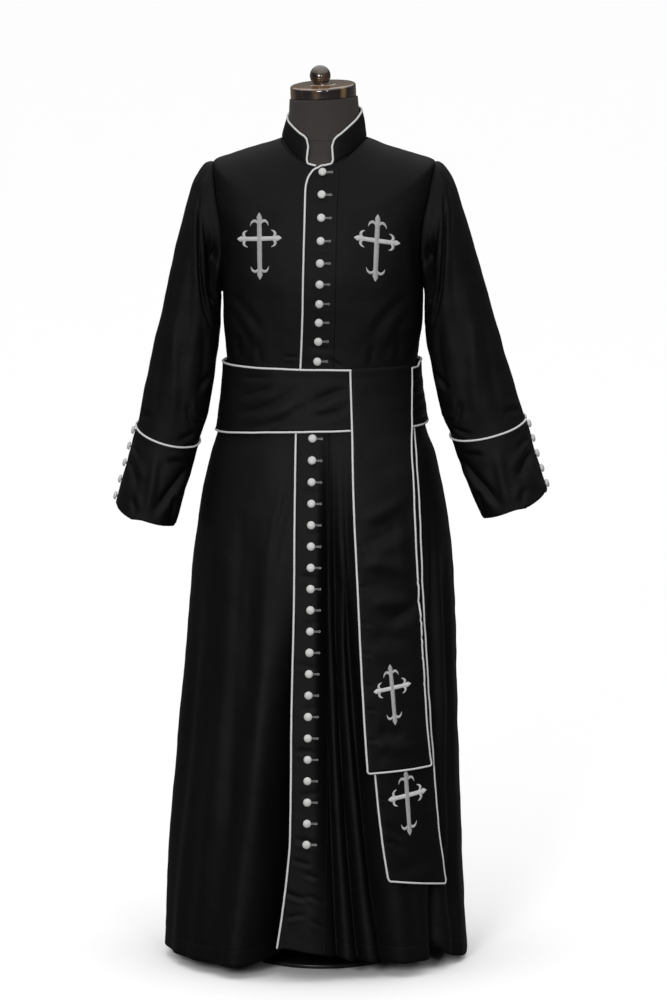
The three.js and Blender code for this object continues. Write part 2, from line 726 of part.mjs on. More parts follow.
function skirtPanel(name, { from, to }, columns) {
  const top = SEAM_GAP / 2 / (WAIST_SEAM - HEM[0].z);
  const downs = SKIRT_ROWS.map((down) => Math.max(down, top));
  const angles = columns.map((angle) => clamp(angle, from, to));
  return named(name, facingOut(wall(skirtColumn, angles, downs, 0, -CLOTH)), ROBE_CLOTH);
}

function skirtPanels() {
  return [
    skirtPanel("skirt_front_right", PANELS.right, SKIRT_COLUMNS.right),
    skirtPanel("skirt_front_left", PANELS.left, SKIRT_COLUMNS.left),
    skirtPanel("skirt_back", PANELS.back, SKIRT_COLUMNS.back),
  ];
}

const PLACKET_ROWS = [
  0.3,
  0.6,
  ...torsoRows.slice(1, -1),
  ...SKIRT_ROWS.map((down) => WAIST_ROW + down),
];
const PLACKET_ACROSS = evenly(0, 1, 3);

// The placket lies on the robe's rows between its two edges: across runs from 0 to 1.
function placketSurface(across, row) {
  const { edge, stitch } = placketEdges(rowHeight(row));
  return robeRow(lerp(edge, stitch, across), row);
}

function placket() {
  const surface = (across, row) => placketSurface(across, Math.min(row, WAIST_ROW + 1));
  const faces = [LAY_GAP + PLACKET_WALL, LAY_GAP].map((lift) => lifted(surface, lift, 0.02, 0.01));
  return named("placket", facingOut(wallBetween(...faces, PLACKET_ACROSS, PLACKET_ROWS)), ROBE_CLOTH);
}

// The flat of the placket's middle strip on which a button sits: a point and the way out.
function placketFlat(x, z, lift) {
  const { edge, stitch } = placketEdges(z);
  const [, left, right] = PLACKET_ACROSS;
  const share = ((x - edge) / (stitch - edge) - left) / (right - left);
  const face = lifted(placketSurface, LAY_GAP + PLACKET_WALL, 0.02, 0.01);
  const middle = (row) => face(left, row).lerp(face(right, row), share);
  const upper = PLACKET_ROWS.findLastIndex((row) => middle(row).z > z);
  const above = middle(PLACKET_ROWS[upper]);
  const below = middle(PLACKET_ROWS[upper + 1]);
  const across = face(right, PLACKET_ROWS[upper]).sub(face(left, PLACKET_ROWS[upper]));
  const out = below.clone().sub(above).cross(across).normalize();
  const point = above.lerp(below, (above.z - z) / (above.z - below.z));
  return { point: point.addScaledVector(out, lift), out };
}

// ---------- collar and the long run of piping ----------

function collarSurface(angle, up) {
  const foot = onSection(TORSO[0], angle);
  foot.z += COLLAR_RISE;
  const { z } = collarEdge(angle);
  const head = onSection({ ...COLLAR_TOP, z }, angle);
  return foot.lerp(head, up);
}

// Columns close together at the opening's curved corners.
const COLLAR_CORNER = [0, 1, 2.5, 5, 9, 15, 24].map((turn) => COLLAR_OPENING + turn);
const COLLAR_ANGLES = [
  ...COLLAR_CORNER,
  ...evenly(58, 302, 14),
  ...COLLAR_CORNER.toReversed().map((angle) => 360 - angle),
];
const COLLAR_DOWNS = evenly(0, 1, 2);

// The collar's surface runs up, so that (across, down) turns it the right way out.
function collar() {
  const surface = (angle, down) => collarSurface(angle, 1 - down);
  const geometry = wall(surface, COLLAR_ANGLES, COLLAR_DOWNS, 0, -LINED_CLOTH);
  return named("collar", facingOut(geometry), ROBE_CLOTH);
}

const COLLAR_END_DOWNS = [0.04, 0.3, 0.55, 0.8]; // of the piping's points on the collar's ends
const NECKLINE_RIGHT = [-5, -9, -13, -16.5]; // angles of its points along the neckline
const NECKLINE_LEFT = [16.5, 13, 9, 6.5];
const NECKLINE_CLIMB = 3.5; // where it climbs to cross its own start and the placket

// From the pit of the neck along the neckline, up the collar's edge on the wearer's right,
// round the back, down the other edge, back along the neckline and down the placket to the hem.
function frontPiping() {
  const clear = PIPING_RADIUS + PIPING_GAP;
  const right = COLLAR_ANGLES.at(-1);
  const left = COLLAR_ANGLES[0];
  const edge = [
    ...COLLAR_END_DOWNS.toReversed().map((down) => [right, down]),
    ...COLLAR_ANGLES.slice(1, -1).toReversed().map((angle) => [angle, 0]),
    ...COLLAR_END_DOWNS.map((down) => [left, down]),
  ];
  const surface = (angle, down) => collarSurface(angle, 1 - down);
  const middle = lifted(surface, -LINED_CLOTH / 2);
  const further = lifted(surface, -LINED_CLOTH / 2 + 1);
  const edgePoints = edge.map((place) => middle(...place));
  const outs = edge.map((place, i) => further(...place).sub(edgePoints[i]));
  const collarRun = besideEdge(edgePoints, outs, clear);

  const aboveNeckline = (angle, lift = 0) => {
    const neckline = lifted(torso, lift);
    const point = neckline(angle, 0);
    return point.addScaledVector(neckline(angle, 0.1).sub(point).normalize(), -clear);
  };
  const lift = LAY_GAP + PIPING_RADIUS;
  const start = NECKLINE_RIGHT.map((angle) => aboveNeckline(angle));
  const back = NECKLINE_LEFT.map((angle) => aboveNeckline(angle));
  back.push(aboveNeckline(NECKLINE_CLIMB, lift));

  const rows = [...PLACKET_ROWS.slice(0, 2), 0.9, ...PLACKET_ROWS.slice(3)];
  const placketEdgeAt = lifted(placketSurface, lift, 0.02, 0.01);
  const placketEdge = rows.map((row) => placketEdgeAt(0, Math.min(row, WAIST_ROW + 0.995)));
  const placketOuts = placketEdge.map(({ x, z }) => onFront(x, z, 1).sub(onFront(x, z)));
  const placketRun = besideEdge(placketEdge, placketOuts, clear);
  const crossing = onFront(PIPING_CROSSING.x, PIPING_CROSSING.z, lift);
  const points = [...start, ...collarRun, ...back, crossing, ...placketRun];
  return named("piping_neck_and_front", tubeAlong(points), PIPING);
}

// ---------- buttons ----------

const UPPER_BUTTONS = { count: 10, top: 1485.5, bottom: 1141, crowding: -10 };
const LOWER_BUTTONS = { count: 20, top: 999, bottom: 259, crowding: 2 };

// A covered button: a low dome on a short back, with its axis along +Z.
function buttonGeometry(radius = BUTTON_RADIUS, height = BUTTON_HEIGHT) {
  const profile = [
    [0, 0],
    [radius * 0.86, 0],
    [radius, height * 0.35],
    [radius * 0.62, height * 0.85],
    [0, height],
  ].map(([r, z]) => new THREE.Vector2(r, z));
  const lathe = new THREE.LatheGeometry(profile, BUTTON_FACETS);
  lathe.rotateX(Math.PI / 2);
  return facingOut(lathe);
}

function buttonHeights({ count, top, bottom, crowding }) {
  const spans = count - 1;
  return evenly(top, bottom, spans).map((z, i) => z + crowding * Math.sin((Math.PI * i) / spans) ** 2);
}

function outwards(way) {
  return new THREE.Quaternion().setFromUnitVectors(new THREE.Vector3(0, 0, 1), way);
}

function frontButtons() {
  const heights = [...buttonHeights(UPPER_BUTTONS), ...buttonHeights(LOWER_BUTTONS)];
  return heights.map((z, i) => {
    const x = Math.min(placketEdges(z).edge + BUTTON_IN_FROM_EDGE, BUTTON_LINE);
    const { point, out } = placketFlat(x, z, LAY_GAP);
    const button = named(`button_${String(i + 1).padStart(2, "0")}`, buttonGeometry(), BUTTON_CLOTH);
    button.position.copy(point);
    button.quaternion.copy(outwards(out));
    return button;
  });
}

// Five buttons on a narrow tape along the cuff's outer edge.
const CUFF_BUTTONS = { count: 5, first: 0.14, last: 1.84, tapeDegrees: 3, tapeWall: 1 };

function cuffButtons(name, rows) {
  const surface = armSurface(rows);
  const base = CUFF_LIFT + CLOTH + LAY_GAP;
  const { count, first, last, tapeDegrees, tapeWall } = CUFF_BUTTONS;
  const downs = evenly(CUFF_TOP + first - 0.06, CUFF_TOP + last + 0.06, 4);
  const tape = wall(surface, [-tapeDegrees, tapeDegrees], downs, base + tapeWall, base);
  const parts = evenly(CUFF_TOP + first, CUFF_TOP + last, count - 1).map((down) => {
    const foot = lifted(surface, base + tapeWall * 0.4)(0, down);
    const way = lifted(surface, base + tapeWall + 10)(0, down).sub(foot).normalize();
    const placed = new THREE.Matrix4().compose(foot, outwards(way), new THREE.Vector3(1, 1, 1));
    return solidOf(buttonGeometry(BUTTON_RADIUS, BUTTON_HEIGHT + 1).applyMatrix4(placed));
  });
  const joined = parts.reduce((sum, part) => sum.add(part), solidOf(tape));
  return named(name, geometryOf(joined), BUTTON_CLOTH);
}

// ---------- band cincture ----------

// The robe's surface as the band sees it: by angle and height, with no folds.
function waistSurface(angle, z) {
  if (z <= WAIST_SEAM) return onSection({ ...skirtSection(z), z }, angle);
  const seam = TORSO.length - 1;
  const row = z < TORSO[seam - 1].zSide
    ? seam - (z - WAIST_SEAM) / (TORSO[seam - 1].zSide - WAIST_SEAM)
    : seam - 1 - (z - TORSO[seam - 1].zSide) / (TORSO[seam - 2].zSide - TORSO[seam - 1].zSide);
  return onSection({ ...torsoSection(row), zFront: z, zSide: z, zBack: z }, angle);
}

function bandSurface(angle, down) {
  const { top, bottom } = bandEdges(wrapAngle(angle));
  return waistSurface(angle, lerp(top, bottom, down));
}

const BAND_RADIUS = 150; // about its ends
const BAND_HALF_GAP = radToDeg(BAND_END_GAP / 2 / BAND_RADIUS);
const BAND_SPAN = { from: BAND_END_ANGLE + BAND_HALF_GAP, to: BAND_END_ANGLE + 360 - BAND_HALF_GAP };

// More columns on the wearer's left of the front, where the tails hang over the band.
const BAND_ANGLES = [
  ...evenly(BAND_SPAN.from, 88, 6),
  ...evenly(88, 376, 24).slice(1),
  ...evenly(376, BAND_SPAN.to, 3).slice(1),
];

function band() {
  const geometry = wall(bandSurface, BAND_ANGLES, evenly(0, 1, 2), BAND_LIFT + LINED_CLOTH, BAND_LIFT);
  return named("sash_band", facingOut(geometry), ROBE_CLOTH);
}

// Round the band's top edge, down its outer end and back along its bottom edge.
function bandPiping() {
  const surface = lifted(bandSurface, BAND_PIPING_LIFT);
  const clear = PIPING_RADIUS + PIPING_GAP;
  const up = new THREE.Vector3(0, 0, clear);
  const aside = radToDeg(clear / BAND_RADIUS);
  const top = BAND_ANGLES.map((angle) => surface(angle, 0).add(up));
  const end = [0, 0.3, 0.7, 1].map((down) => surface(BAND_SPAN.to + aside, down));
  const bottom = BAND_ANGLES.toReversed().map((angle) => surface(angle, 1).sub(up));
  const corners = [0, 1].map((down) => surface(BAND_SPAN.to + aside * PIPING_CORNER, down));
  corners[0].addScaledVector(up, PIPING_CORNER);
  corners[1].addScaledVector(up, -PIPING_CORNER);
  return named("piping_band", tubeAlong([...top, corners[0], ...end, corners[1], ...bottom]), PIPING);
}

// ---------- tails ----------

const FRONT_TAIL_LIFT = BAND_PIPING_LIFT + PIPING_RADIUS + LINED_CLOTH / 2 + LAY_GAP;
const REAR_TAIL_LIFT = 2.7;
const TAIL_FOLD_INSIDE = 32; // how far the front tail runs down behind the band
const TAIL_FOLD_TOP = 1128.5; // over the band's piping

// The front tail's way, as (lift, height): up behind the band, over its edge and down.
function frontTailRoute() {
  const inside = BAND_PIPING_LIFT - PIPING_RADIUS - LINED_CLOTH / 2 - LAY_GAP;
  const outside = FRONT_TAIL_LIFT;
  const over = [
    { lift: inside, z: TAIL_FOLD_TOP - TAIL_FOLD_INSIDE },
    { lift: inside, z: TAIL_FOLD_TOP - 6 },
    { lift: inside + 0.5, z: TAIL_FOLD_TOP - 1.6 },
    { lift: BAND_PIPING_LIFT, z: TAIL_FOLD_TOP },
    { lift: outside - 0.5, z: TAIL_FOLD_TOP - 1.6 },
    { lift: outside, z: TAIL_FOLD_TOP - 6 },
  ];
  const foot = FRONT_TAIL.at(-1).z;
  return [...over, ...evenly(TAIL_FOLD_TOP - 38, foot, 16).map((z) => ({ lift: outside, z }))];
}

// A strip of cloth down the front: across runs from its left to its right edge.
function tailStrip(route, edges, endRise, side) {
  const last = route.length - 1;
  const heightOf = (across, i) => {
    const near = clamp((i - (last - 4)) / 4, 0, 1) ** 2;
    return route[i].z + near * lerp(endRise.left, endRise.right, across);
  };
  const place = (across, i) => {
    const z = heightOf(across, i);
    const section = z > WAIST_SEAM ? torsoSection(WAIST_ROW) : skirtSection(z);
    const { left, right } = edges(z);
    const angle = lerp(angleAtX(section, left), angleAtX(section, right), across);
    return lifted(waistSurface, route[i].lift, 0.5, -1)(angle, z);
  };
  return (across, i) => {
    const point = place(across, i);
    const along = place(across, Math.min(i + 1, last)).sub(place(across, Math.max(i - 1, 0)));
    const over = place(across + 0.02, i).sub(place(across - 0.02, i));
    return point.addScaledVector(along.cross(over).normalize(), side);
  };
}

function indices(list) {
  return list.map((_, i) => i);
}

function tailMesh(name, route, edges, endRise) {
  const half = LINED_CLOTH / 2;
  const faces = [half, -half].map((side) => tailStrip(route, edges, endRise, side));
  return named(name, facingOut(wallBetween(...faces, evenly(0, 1, 5), indices(route))), ROBE_CLOTH);
}

// Down the left edge, along the end and up the right edge.
function tailPiping(name, route, edges, endRise, first) {
  const last = route.length - 1;
  const middle = tailStrip(route, edges, endRise, 0);
  const clear = (i) => (PIPING_RADIUS + PIPING_GAP) / middle(0, i).distanceTo(middle(1, i));
  const below = new THREE.Vector3(0, 0, -(PIPING_RADIUS + PIPING_GAP));
  const rows = indices(route).slice(first);
  const left = rows.map((i) => middle(-clear(i), i));
  const right = rows.toReversed().map((i) => middle(1 + clear(i), i));
  const end = evenly(0.02, 0.98, 7).map((across) => middle(across, last).add(below));
  const out = clear(last) * PIPING_CORNER;
  const corners = [middle(-out, last), middle(1 + out, last)];
  corners.forEach((corner) => corner.addScaledVector(below, PIPING_CORNER));
  return named(name, tubeAlong([...left, corners[0], ...end, corners[1], ...right]), PIPING);
}

function rearTailRoute() {
  const top = REAR_TAIL[0].z;
  const foot = REAR_TAIL.at(-1).z;
  return evenly(top, foot, 18).map((z) => ({ lift: REAR_TAIL_LIFT, z }));
}

// ---------- crosses ----------

// A fleury cross about its own crossing, in a unit height of 1: a tall foot, three short arms,
// and each arm ending in a bud between two turned-back leaves.
const CROSS = {
  bar: 0.041, // half-width of a bar
  arm: 0.34, // from the crossing to the tip of a side arm
  head: 0.387, // to the top
  foot: 0.613, // to the bottom
  bud: 0.125, // length of a bud and its leaves
  budHalf: 0.062,
  leafSpread: 0.145,
  leafTurn: 0.055, // how far the leaves' tips turn back towards the crossing
};

// Half of one arm's outline from the crossing's corner to its tip, as (along, aside).
function armOutline(reach) {
  const { bar, bud, budHalf, leafSpread, leafTurn } = CROSS;
  const neck = reach - bud;
  return [
    [neck - 0.012, bar * 0.88],
    [neck - 0.022, leafSpread * 0.55],
    [neck - leafTurn, leafSpread * 0.86],
    [neck - leafTurn * 0.4, leafSpread],
    [neck + 0.02, leafSpread * 0.8],
    [neck + 0.034, budHalf * 0.8],
    [neck + bud * 0.55, budHalf],
    [neck + bud * 0.85, budHalf * 0.4],
  ];
}

function turned(point, degrees) {
  return point.rotateAround(new THREE.Vector2(), degToRad(degrees));
}

function crossShape() {
  const arms = [
    { reach: CROSS.head, turn: 90 },
    { reach: CROSS.arm, turn: 180 },
    { reach: CROSS.foot, turn: 270 },
    { reach: CROSS.arm, turn: 0 },
  ];
  const points = arms.flatMap(({ reach, turn }) => {
    const half = armOutline(reach);
    const whole = [
      [CROSS.bar, -CROSS.bar],
      ...half.map(([along, aside]) => [along, -aside]),
      [reach, 0],
      ...half.toReversed(),
    ];
    return whole.map(([along, aside]) => turned(new THREE.Vector2(along, aside), turn));
  });
  return new THREE.Shape(points);
}

// The cross laid on the robe's front: tilt turns it, lift is the height of its back.
function crossMesh(name, { x, z, tilt, lift, height = CROSS_HEIGHT }) {
  const options = { depth: CROSS_WALL, bevelEnabled: false, steps: 1 };
  const flat = new THREE.ExtrudeGeometry(crossShape(), options);
  const places = flat.attributes.position;
  for (let i = 0; i < places.count; i += 1) {
    const local = new THREE.Vector2(places.getX(i), places.getY(i)).multiplyScalar(height);
    turned(local, tilt);
    const point = onFront(x + local.x, z + local.y, lift + places.getZ(i));
    places.setXYZ(i, ...point.toArray());
  }
  return named(name, facingOut(flat), EMBROIDERY);
}

function crosses() {
  const tall = CROSS_HEIGHT;
  const onTail = FRONT_TAIL_LIFT + LINED_CLOTH / 2 + CROSS_GAP;
  const onRearTail = REAR_TAIL_LIFT + LINED_CLOTH / 2 + CROSS_GAP;
  return [
    crossMesh("cross_chest_right", { x: -107, z: 1366, tilt: 1, lift: CROSS_GAP }),
    crossMesh("cross_chest_left", { x: 109, z: 1364, tilt: -3, lift: CROSS_GAP, height: tall * 1.03 }),
    crossMesh("cross_front_tail", { x: 143, z: 543, tilt: 5, lift: onTail, height: tall * 0.97 }),
    crossMesh("cross_rear_tail", { x: 169, z: 344, tilt: 5, lift: onRearTail }),
  ];
}

// ---------- dress form ----------

// Under the bodice it has the bodice's own columns and rows, further in.
function formBody() {
  const inside = lifted(torso, (_, row) => -CLOTH - formClearance(row).gap);
  const section = (row) => BODICE_ANGLES.map((angle) => onSection(row, angle));
  const covered = [...torsoRows.slice(0, 5), torsoRows[6], torsoRows[8]];
  const rings = [
    ...FORM_NECK.map(section),
    ...covered.map((row) => BODICE_ANGLES.map((angle) => inside(angle, row))),
    ...FORM_HIPS.map(section),
  ];
  return named("form_body", facingOut(solidThrough(rings)), JERSEY);
}

function formCap() {
  const profile = [
    [0, 0],
    [CAP_RADIUS - 1.5, 0],
    [CAP_RADIUS, 1.5],
    [CAP_RADIUS, CAP_RIM - 2.5],
    [CAP_RADIUS - 3, CAP_RIM],
    [13, CAP_RIM + 1],
    [11, CAP_RIM + 5],
    [8, CAP_RIM + 7],
    ...evenly(-0.36, 0.5, 6).slice(0, -1).map((turn) => [
      BALL_RADIUS * Math.cos(turn * Math.PI),
      CAP_RIM + 7 + BALL_RADIUS * (0.9 + Math.sin(turn * Math.PI)),
    ]),
    [0, CAP_RIM + 7 + BALL_RADIUS * 1.9],
  ].map(([r, z]) => new THREE.Vector2(r, z));
  const lathe = new THREE.LatheGeometry(profile, 18);
  lathe.rotateX(Math.PI / 2);
  const cap = named("form_neck_cap", facingOut(lathe), CAP_FINISH);
  cap.rotation.set(degToRad(CAP_TILT_FRONT), degToRad(-CAP_TILT_SIDE), 0);
  cap.position.set(CAP_CENTRE.x, CAP_CENTRE.y, CAP_CENTRE.z);
  return cap;
}

function formStand() {
  const underside = FORM_HIPS.at(-1).z - SEAM_GAP;
  const profile = [
    [0, 0],
    [BASE_RADIUS, 0],
    [BASE_RADIUS, 6],
    [BASE_RADIUS - 12, 11],
    [60, 18],
    [26, 26],
    [24, 54],
    [POLE_RADIUS, 58],
    [POLE_RADIUS, underside - 30],
    [28, underside - 24],
    [34, underside],
    [0, underside],
  ].map(([r, z]) => new THREE.Vector2(r, z));
  const lathe = new THREE.LatheGeometry(profile, 28);
  lathe.rotateX(Math.PI / 2);
  return named("form_stand", facingOut(lathe), STAND_FINISH);
}

// ---------- the whole object ----------

function grouped(name, children) {
  const group = new THREE.Group();
  group.name = name;
  group.add(...children);
  return group;
}

const dressForm = grouped("dress form", [formBody(), formCap(), formStand()]);

const robe = grouped("robe", [
  ...bodice(),
  ...skirtPanels(),
  placket(),
  collar(),
  sleeveMesh("sleeve_right", RIGHT_ARM),
  sleeveMesh("sleeve_left", LEFT_ARM),
  cuffMesh("cuff_right", RIGHT_ARM),
  cuffMesh("cuff_left", LEFT_ARM),
  cuffPiping("piping_cuff_right", RIGHT_ARM),
  cuffPiping("piping_cuff_left", LEFT_ARM),
  frontPiping(),
  cuffButtons("cuff_buttons_right", RIGHT_ARM),
  cuffButtons("cuff_buttons_left", LEFT_ARM),
  ...frontButtons(),
]);

const cincture = grouped("band cincture", [
  band(),
  bandPiping(),
  tailMesh("tail_front", frontTailRoute(), frontTailEdges, FRONT_TAIL_END_RISE),
  tailPiping("piping_tail_front", frontTailRoute(), frontTailEdges, FRONT_TAIL_END_RISE, 5),
  tailMesh("tail_rear", rearTailRoute(), rearTailEdges, REAR_TAIL_END_RISE),
  tailPiping("piping_tail_rear", rearTailRoute(), rearTailEdges, REAR_TAIL_END_RISE, 2),
]);

const group = grouped("clergy robe on a dress form", [dressForm, robe, cincture, ...crosses()]);

export default group;
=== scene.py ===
# The looks of a clergy robe with its band cincture, filled out on a limbless dress form.
# Millimetres here, metres in Blender, +Z up. The front faces -Y; the wearer's left is +X.
# Every panel of cloth is a thin shell on one smooth robe surface, the same as its solid's,
# with folds and creases added. Whatever lies on a panel is made from the same surface.

import math

import bpy
import numpy as np
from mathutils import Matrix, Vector


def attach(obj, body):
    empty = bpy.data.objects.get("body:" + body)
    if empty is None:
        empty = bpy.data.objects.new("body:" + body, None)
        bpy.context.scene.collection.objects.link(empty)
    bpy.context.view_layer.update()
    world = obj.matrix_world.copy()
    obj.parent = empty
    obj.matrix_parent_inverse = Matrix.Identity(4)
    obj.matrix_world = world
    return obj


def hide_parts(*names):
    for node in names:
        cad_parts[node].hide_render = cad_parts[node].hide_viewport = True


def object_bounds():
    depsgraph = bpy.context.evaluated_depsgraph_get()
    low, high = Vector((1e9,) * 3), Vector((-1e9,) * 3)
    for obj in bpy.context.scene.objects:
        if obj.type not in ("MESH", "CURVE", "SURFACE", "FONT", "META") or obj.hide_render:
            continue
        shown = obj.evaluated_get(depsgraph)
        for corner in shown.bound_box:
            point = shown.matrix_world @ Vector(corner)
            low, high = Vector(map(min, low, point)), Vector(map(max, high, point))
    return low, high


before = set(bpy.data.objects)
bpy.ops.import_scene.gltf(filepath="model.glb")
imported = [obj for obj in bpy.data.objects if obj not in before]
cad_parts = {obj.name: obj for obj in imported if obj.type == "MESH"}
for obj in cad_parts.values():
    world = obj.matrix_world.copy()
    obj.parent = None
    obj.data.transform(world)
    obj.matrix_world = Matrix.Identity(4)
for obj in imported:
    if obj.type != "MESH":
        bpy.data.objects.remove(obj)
cad_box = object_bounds()

# ---------- driving dimensions ----------

MM = 0.001
CLOTH = 1.6  # wall of a single panel
LINED_CLOTH = 1.9  # wall of the collar, the band and the tails
SEAM_GAP = 0.3  # between two pieces that are sewn edge to edge
LAY_GAP = 0.5  # under a piece that lies on a panel
RIM = 0.5  # width of the rounded rim round a shell
PIPING_RADIUS = 1.9
PIPING_GAP = 0.3  # between the piping and the edge that it binds
PIPING_CLEAR = PIPING_RADIUS + PIPING_GAP  # from that edge to the piping's centre
WAIST_SEAM = 1110  # height of the seam between bodice and skirt
PLACKET_WALL = 1.5
BUTTON_RADIUS = 7.7
BUTTON_HEIGHT = 6
BUTTON_IN_FROM_EDGE = 28.5  # from the placket's piped edge to the button's centre
BUTTON_LINE = 7.2  # largest x of a button's centre, where the edge curves in at the top
BAND_LIFT = 5.4  # from the robe to the inner face of the band, over the front piping
BAND_PIPING_LIFT = 7  # to the centre of the band's piping
BAND_END_ANGLE = 38  # where the band's two ends meet, behind the tails
BAND_END_GAP = 5.5
BAND_RADIUS = 150  # about its ends
CUFF_LIFT = 0.5
CROSS_HEIGHT = 122
FORM_CLEARANCE = {"row": [0, 0.6, 1, 3, 8], "gap": [2, 2.6, 4, 4, 7]}  # under the bodice, by torso row
HALVINGS = 26  # of a span of rows, to find a place in it


def table(columns, rows):
    """A table with named columns, whose rows start with the name of what they describe."""
    kept = [row[1:] for row in rows]
    return {key: np.array(values, float) for key, values in zip(columns.split(), zip(*kept))}


# ---------- sections ----------
# left, right: half-widths towards -X and +X; front, back: depths towards -Y and +Y;
# z_front, z_side, z_back: heights of the section's front, sides and back;
# square: 2 is an ellipse, more is squarer.

TORSO = table("left right front back z_front z_side z_back square", [
    ("neckline", 75, 83, 85, 66, 1496, 1543, 1552, 2),
    ("collarbone", 118, 124, 98, 85, 1471, 1529, 1534, 2.1),
    ("shoulder", 165, 171, 110, 98, 1443, 1515, 1509, 2.3),
    ("shoulder tip", 202, 210, 120, 109, 1408, 1497, 1474, 2.5),
    ("top of armhole", 203, 209, 128, 116, 1370, 1450, 1425, 2.6),
    ("armhole", 195, 200, 134, 121, 1330, 1390, 1370, 2.6),
    ("chest", 188, 192, 137, 122, 1290, 1322, 1310, 2.6),
    ("underarm", 185, 188, 135, 119, 1248, 1258, 1252, 2.5),
    ("ribs", 184, 186, 131, 114, 1203, 1203, 1203, 2.4),
    ("above the waist", 180, 181, 127, 109, 1160, 1160, 1160, 2.3),
    ("waist", 178, 178, 125, 107, 1128, 1128, 1128, 2.3),
    ("waist seam", 178, 178, 125, 107, 1110, 1110, 1110, 2.3),
])
WAIST_ROW = 11

SKIRT = table("z left right front back square", [
    ("waist seam", 1110, 178, 178, 125, 107, 2.3),
    ("under the band", 1060, 183, 183, 130, 114, 2.3),
    ("below the band", 1005, 191, 193, 141, 127, 2.3),
    ("high hip", 955, 207, 211, 157, 144, 2.3),
    ("hip", 887, 224, 226, 173, 164, 2.3),
    ("thigh", 774, 240, 243, 192, 187, 2.3),
    ("above the knee", 674, 249, 249, 204, 203, 2.3),
    ("knee", 558, 258, 253, 217, 219, 2.3),
    ("calf", 370, 276, 258, 237, 242, 2.3),
    ("shin", 140, 293, 267, 254, 263, 2.3),
    ("hem", 0, 299, 276, 262, 272, 2.3),
])

# Height of the hem round the robe. Angles run from the front (0) to the wearer's left (90).
HEM = {
    "angle": [-180, -135, -90, -50, -24, -14, -8, 0, 14, 40, 53, 57, 60, 64, 90, 135, 180],
    "z": [16, 15, 20, 22, 24, 44, 64, 56, 38, 28, 29, 53, 50, 29, 9, 14, 16],
}

# Folds that fall from the waist. top and hem: angle at the waist seam and at the hem;
# starts: height at which the fold begins to show; depth: out (+) or in (-) at the hem;
# width: half-width in degrees.
FOLDS = table("top hem starts depth width", [
    ("beside the placket", -2, -16, 800, -70, 4.6),
    ("high crease beside the placket", -7, -21, 970, -5, 3),
    ("wearer's right lobe", -16, -27, 720, 12, 7),
    ("wearer's right, first trough", -26, -39, 960, -12, 8),
    ("wearer's right, second trough", -45, -57, 900, -10, 7.5),
    ("wearer's right, third trough", -62, -73, 840, -9, 7),
    ("right of the placket", 2.6, 8, 1060, -34, 3),
    ("second right of the placket", 6.5, 17.5, 1090, -44, 3.6),
    ("left of the front tail", 12, 29, 1060, -50, 4.8),
    ("under the tails", 32, 43, 860, -7, 5),
    ("beside the rear tail", 62, 57, 940, -40, 4.6),
    ("wearer's left side", 76, 72, 860, -12, 4),
    ("back, first trough", 112, 108, 940, -26, 5.5),
    ("back, second trough", 135, 131, 990, -34, 5.5),
    ("back, third trough", 158, 155, 1020, -38, 5),
    ("back, centre ridge", 176, 178, 960, 10, 7),
    ("back, fourth trough", 199, 203, 1020, -40, 5),
    ("back, fifth trough", 222, 228, 960, -32, 6),
    ("back, sixth trough", 246, 252, 920, -22, 5.5),
])

# The standing collar's top edge: its section, and its height round the neck from the
# opening's left edge (+20) over the back to the opening's right edge (340).
COLLAR_TOP = {"left": 66, "right": 75, "front": 79, "back": 61, "square": 2}
COLLAR_OPENING = 20  # degrees either side of the front
COLLAR_RISE = 0.8  # from the neckline's edge up to the collar's foot
COLLAR_EDGE = {
    "angle": [20, 23, 33, 55, 90, 180, 270, 303, 323, 337, 340],
    "z": [1534, 1544, 1554, 1572, 1592, 1601, 1581, 1568, 1555, 1545, 1534],
}

# The sleeves are rings between an outer and an inner point of the arm's outline, seen from
# the front. From front to back both are alike. deep: half-depth; centre: place in Y; drop:
# how far the front hangs below the back.
SLEEVE_DEPTHS = {
    "deep": [60, 66, 69, 69, 67, 64, 62, 60, 57, 55.5, 56, 58],
    "centre": [4, 4, 2, 0, -2, -4, -6, -9, -12, -14.6, -18, -22],
    "drop": [0, 0, 2, 4, 6, 8, 9, 11, 13, 15, 15, 15],
}
RIGHT_ARM = SLEEVE_DEPTHS | table("outer_x outer_z inner_x inner_z", [
    ("inside the armhole", -160, 1490, -162, 1276),
    ("armhole", -206, 1499, -183, 1264),
    ("sleeve head", -234, 1474, -188, 1251),
    ("under the head", -250, 1429, -189.5, 1230),
    ("upper arm", -269, 1358, -189.5, 1198),
    ("above the elbow", -286, 1282, -192, 1165),
    ("elbow", -303, 1205, -197, 1132),
    ("forearm", -320, 1132, -203, 1085),
    ("lower forearm", -335, 1060, -213, 1028),
    ("cuff top", -345.5, 1004, -231, 974),
    ("cuff middle", -364, 933, -252, 900),
    ("cuff end", -384, 860, -274, 824),
])
LEFT_ARM = SLEEVE_DEPTHS | table("outer_x outer_z inner_x inner_z", [
    ("inside the armhole", 162, 1492, 164, 1278),
    ("armhole", 212, 1501, 186, 1266),
    ("sleeve head", 239, 1477, 190.5, 1254),
    ("under the head", 257, 1429, 191.5, 1234),
    ("upper arm", 278, 1362, 191, 1203),
    ("above the elbow", 299, 1291, 194, 1169),
    ("elbow", 321, 1214, 201, 1137),
    ("forearm", 342, 1142, 210, 1090),
    ("lower forearm", 363, 1074, 223, 1036),
    ("cuff top", 379, 1022, 242.5, 991),
    ("cuff middle", 397, 958, 270, 915),
    ("cuff end", 419, 892, 301, 844),
])
CUFF_TOP = 9  # rows
CUFF_END = 11
SLEEVE_UNDER_CUFF = 0.18  # how far the sleeve runs on under the cuff, in rows

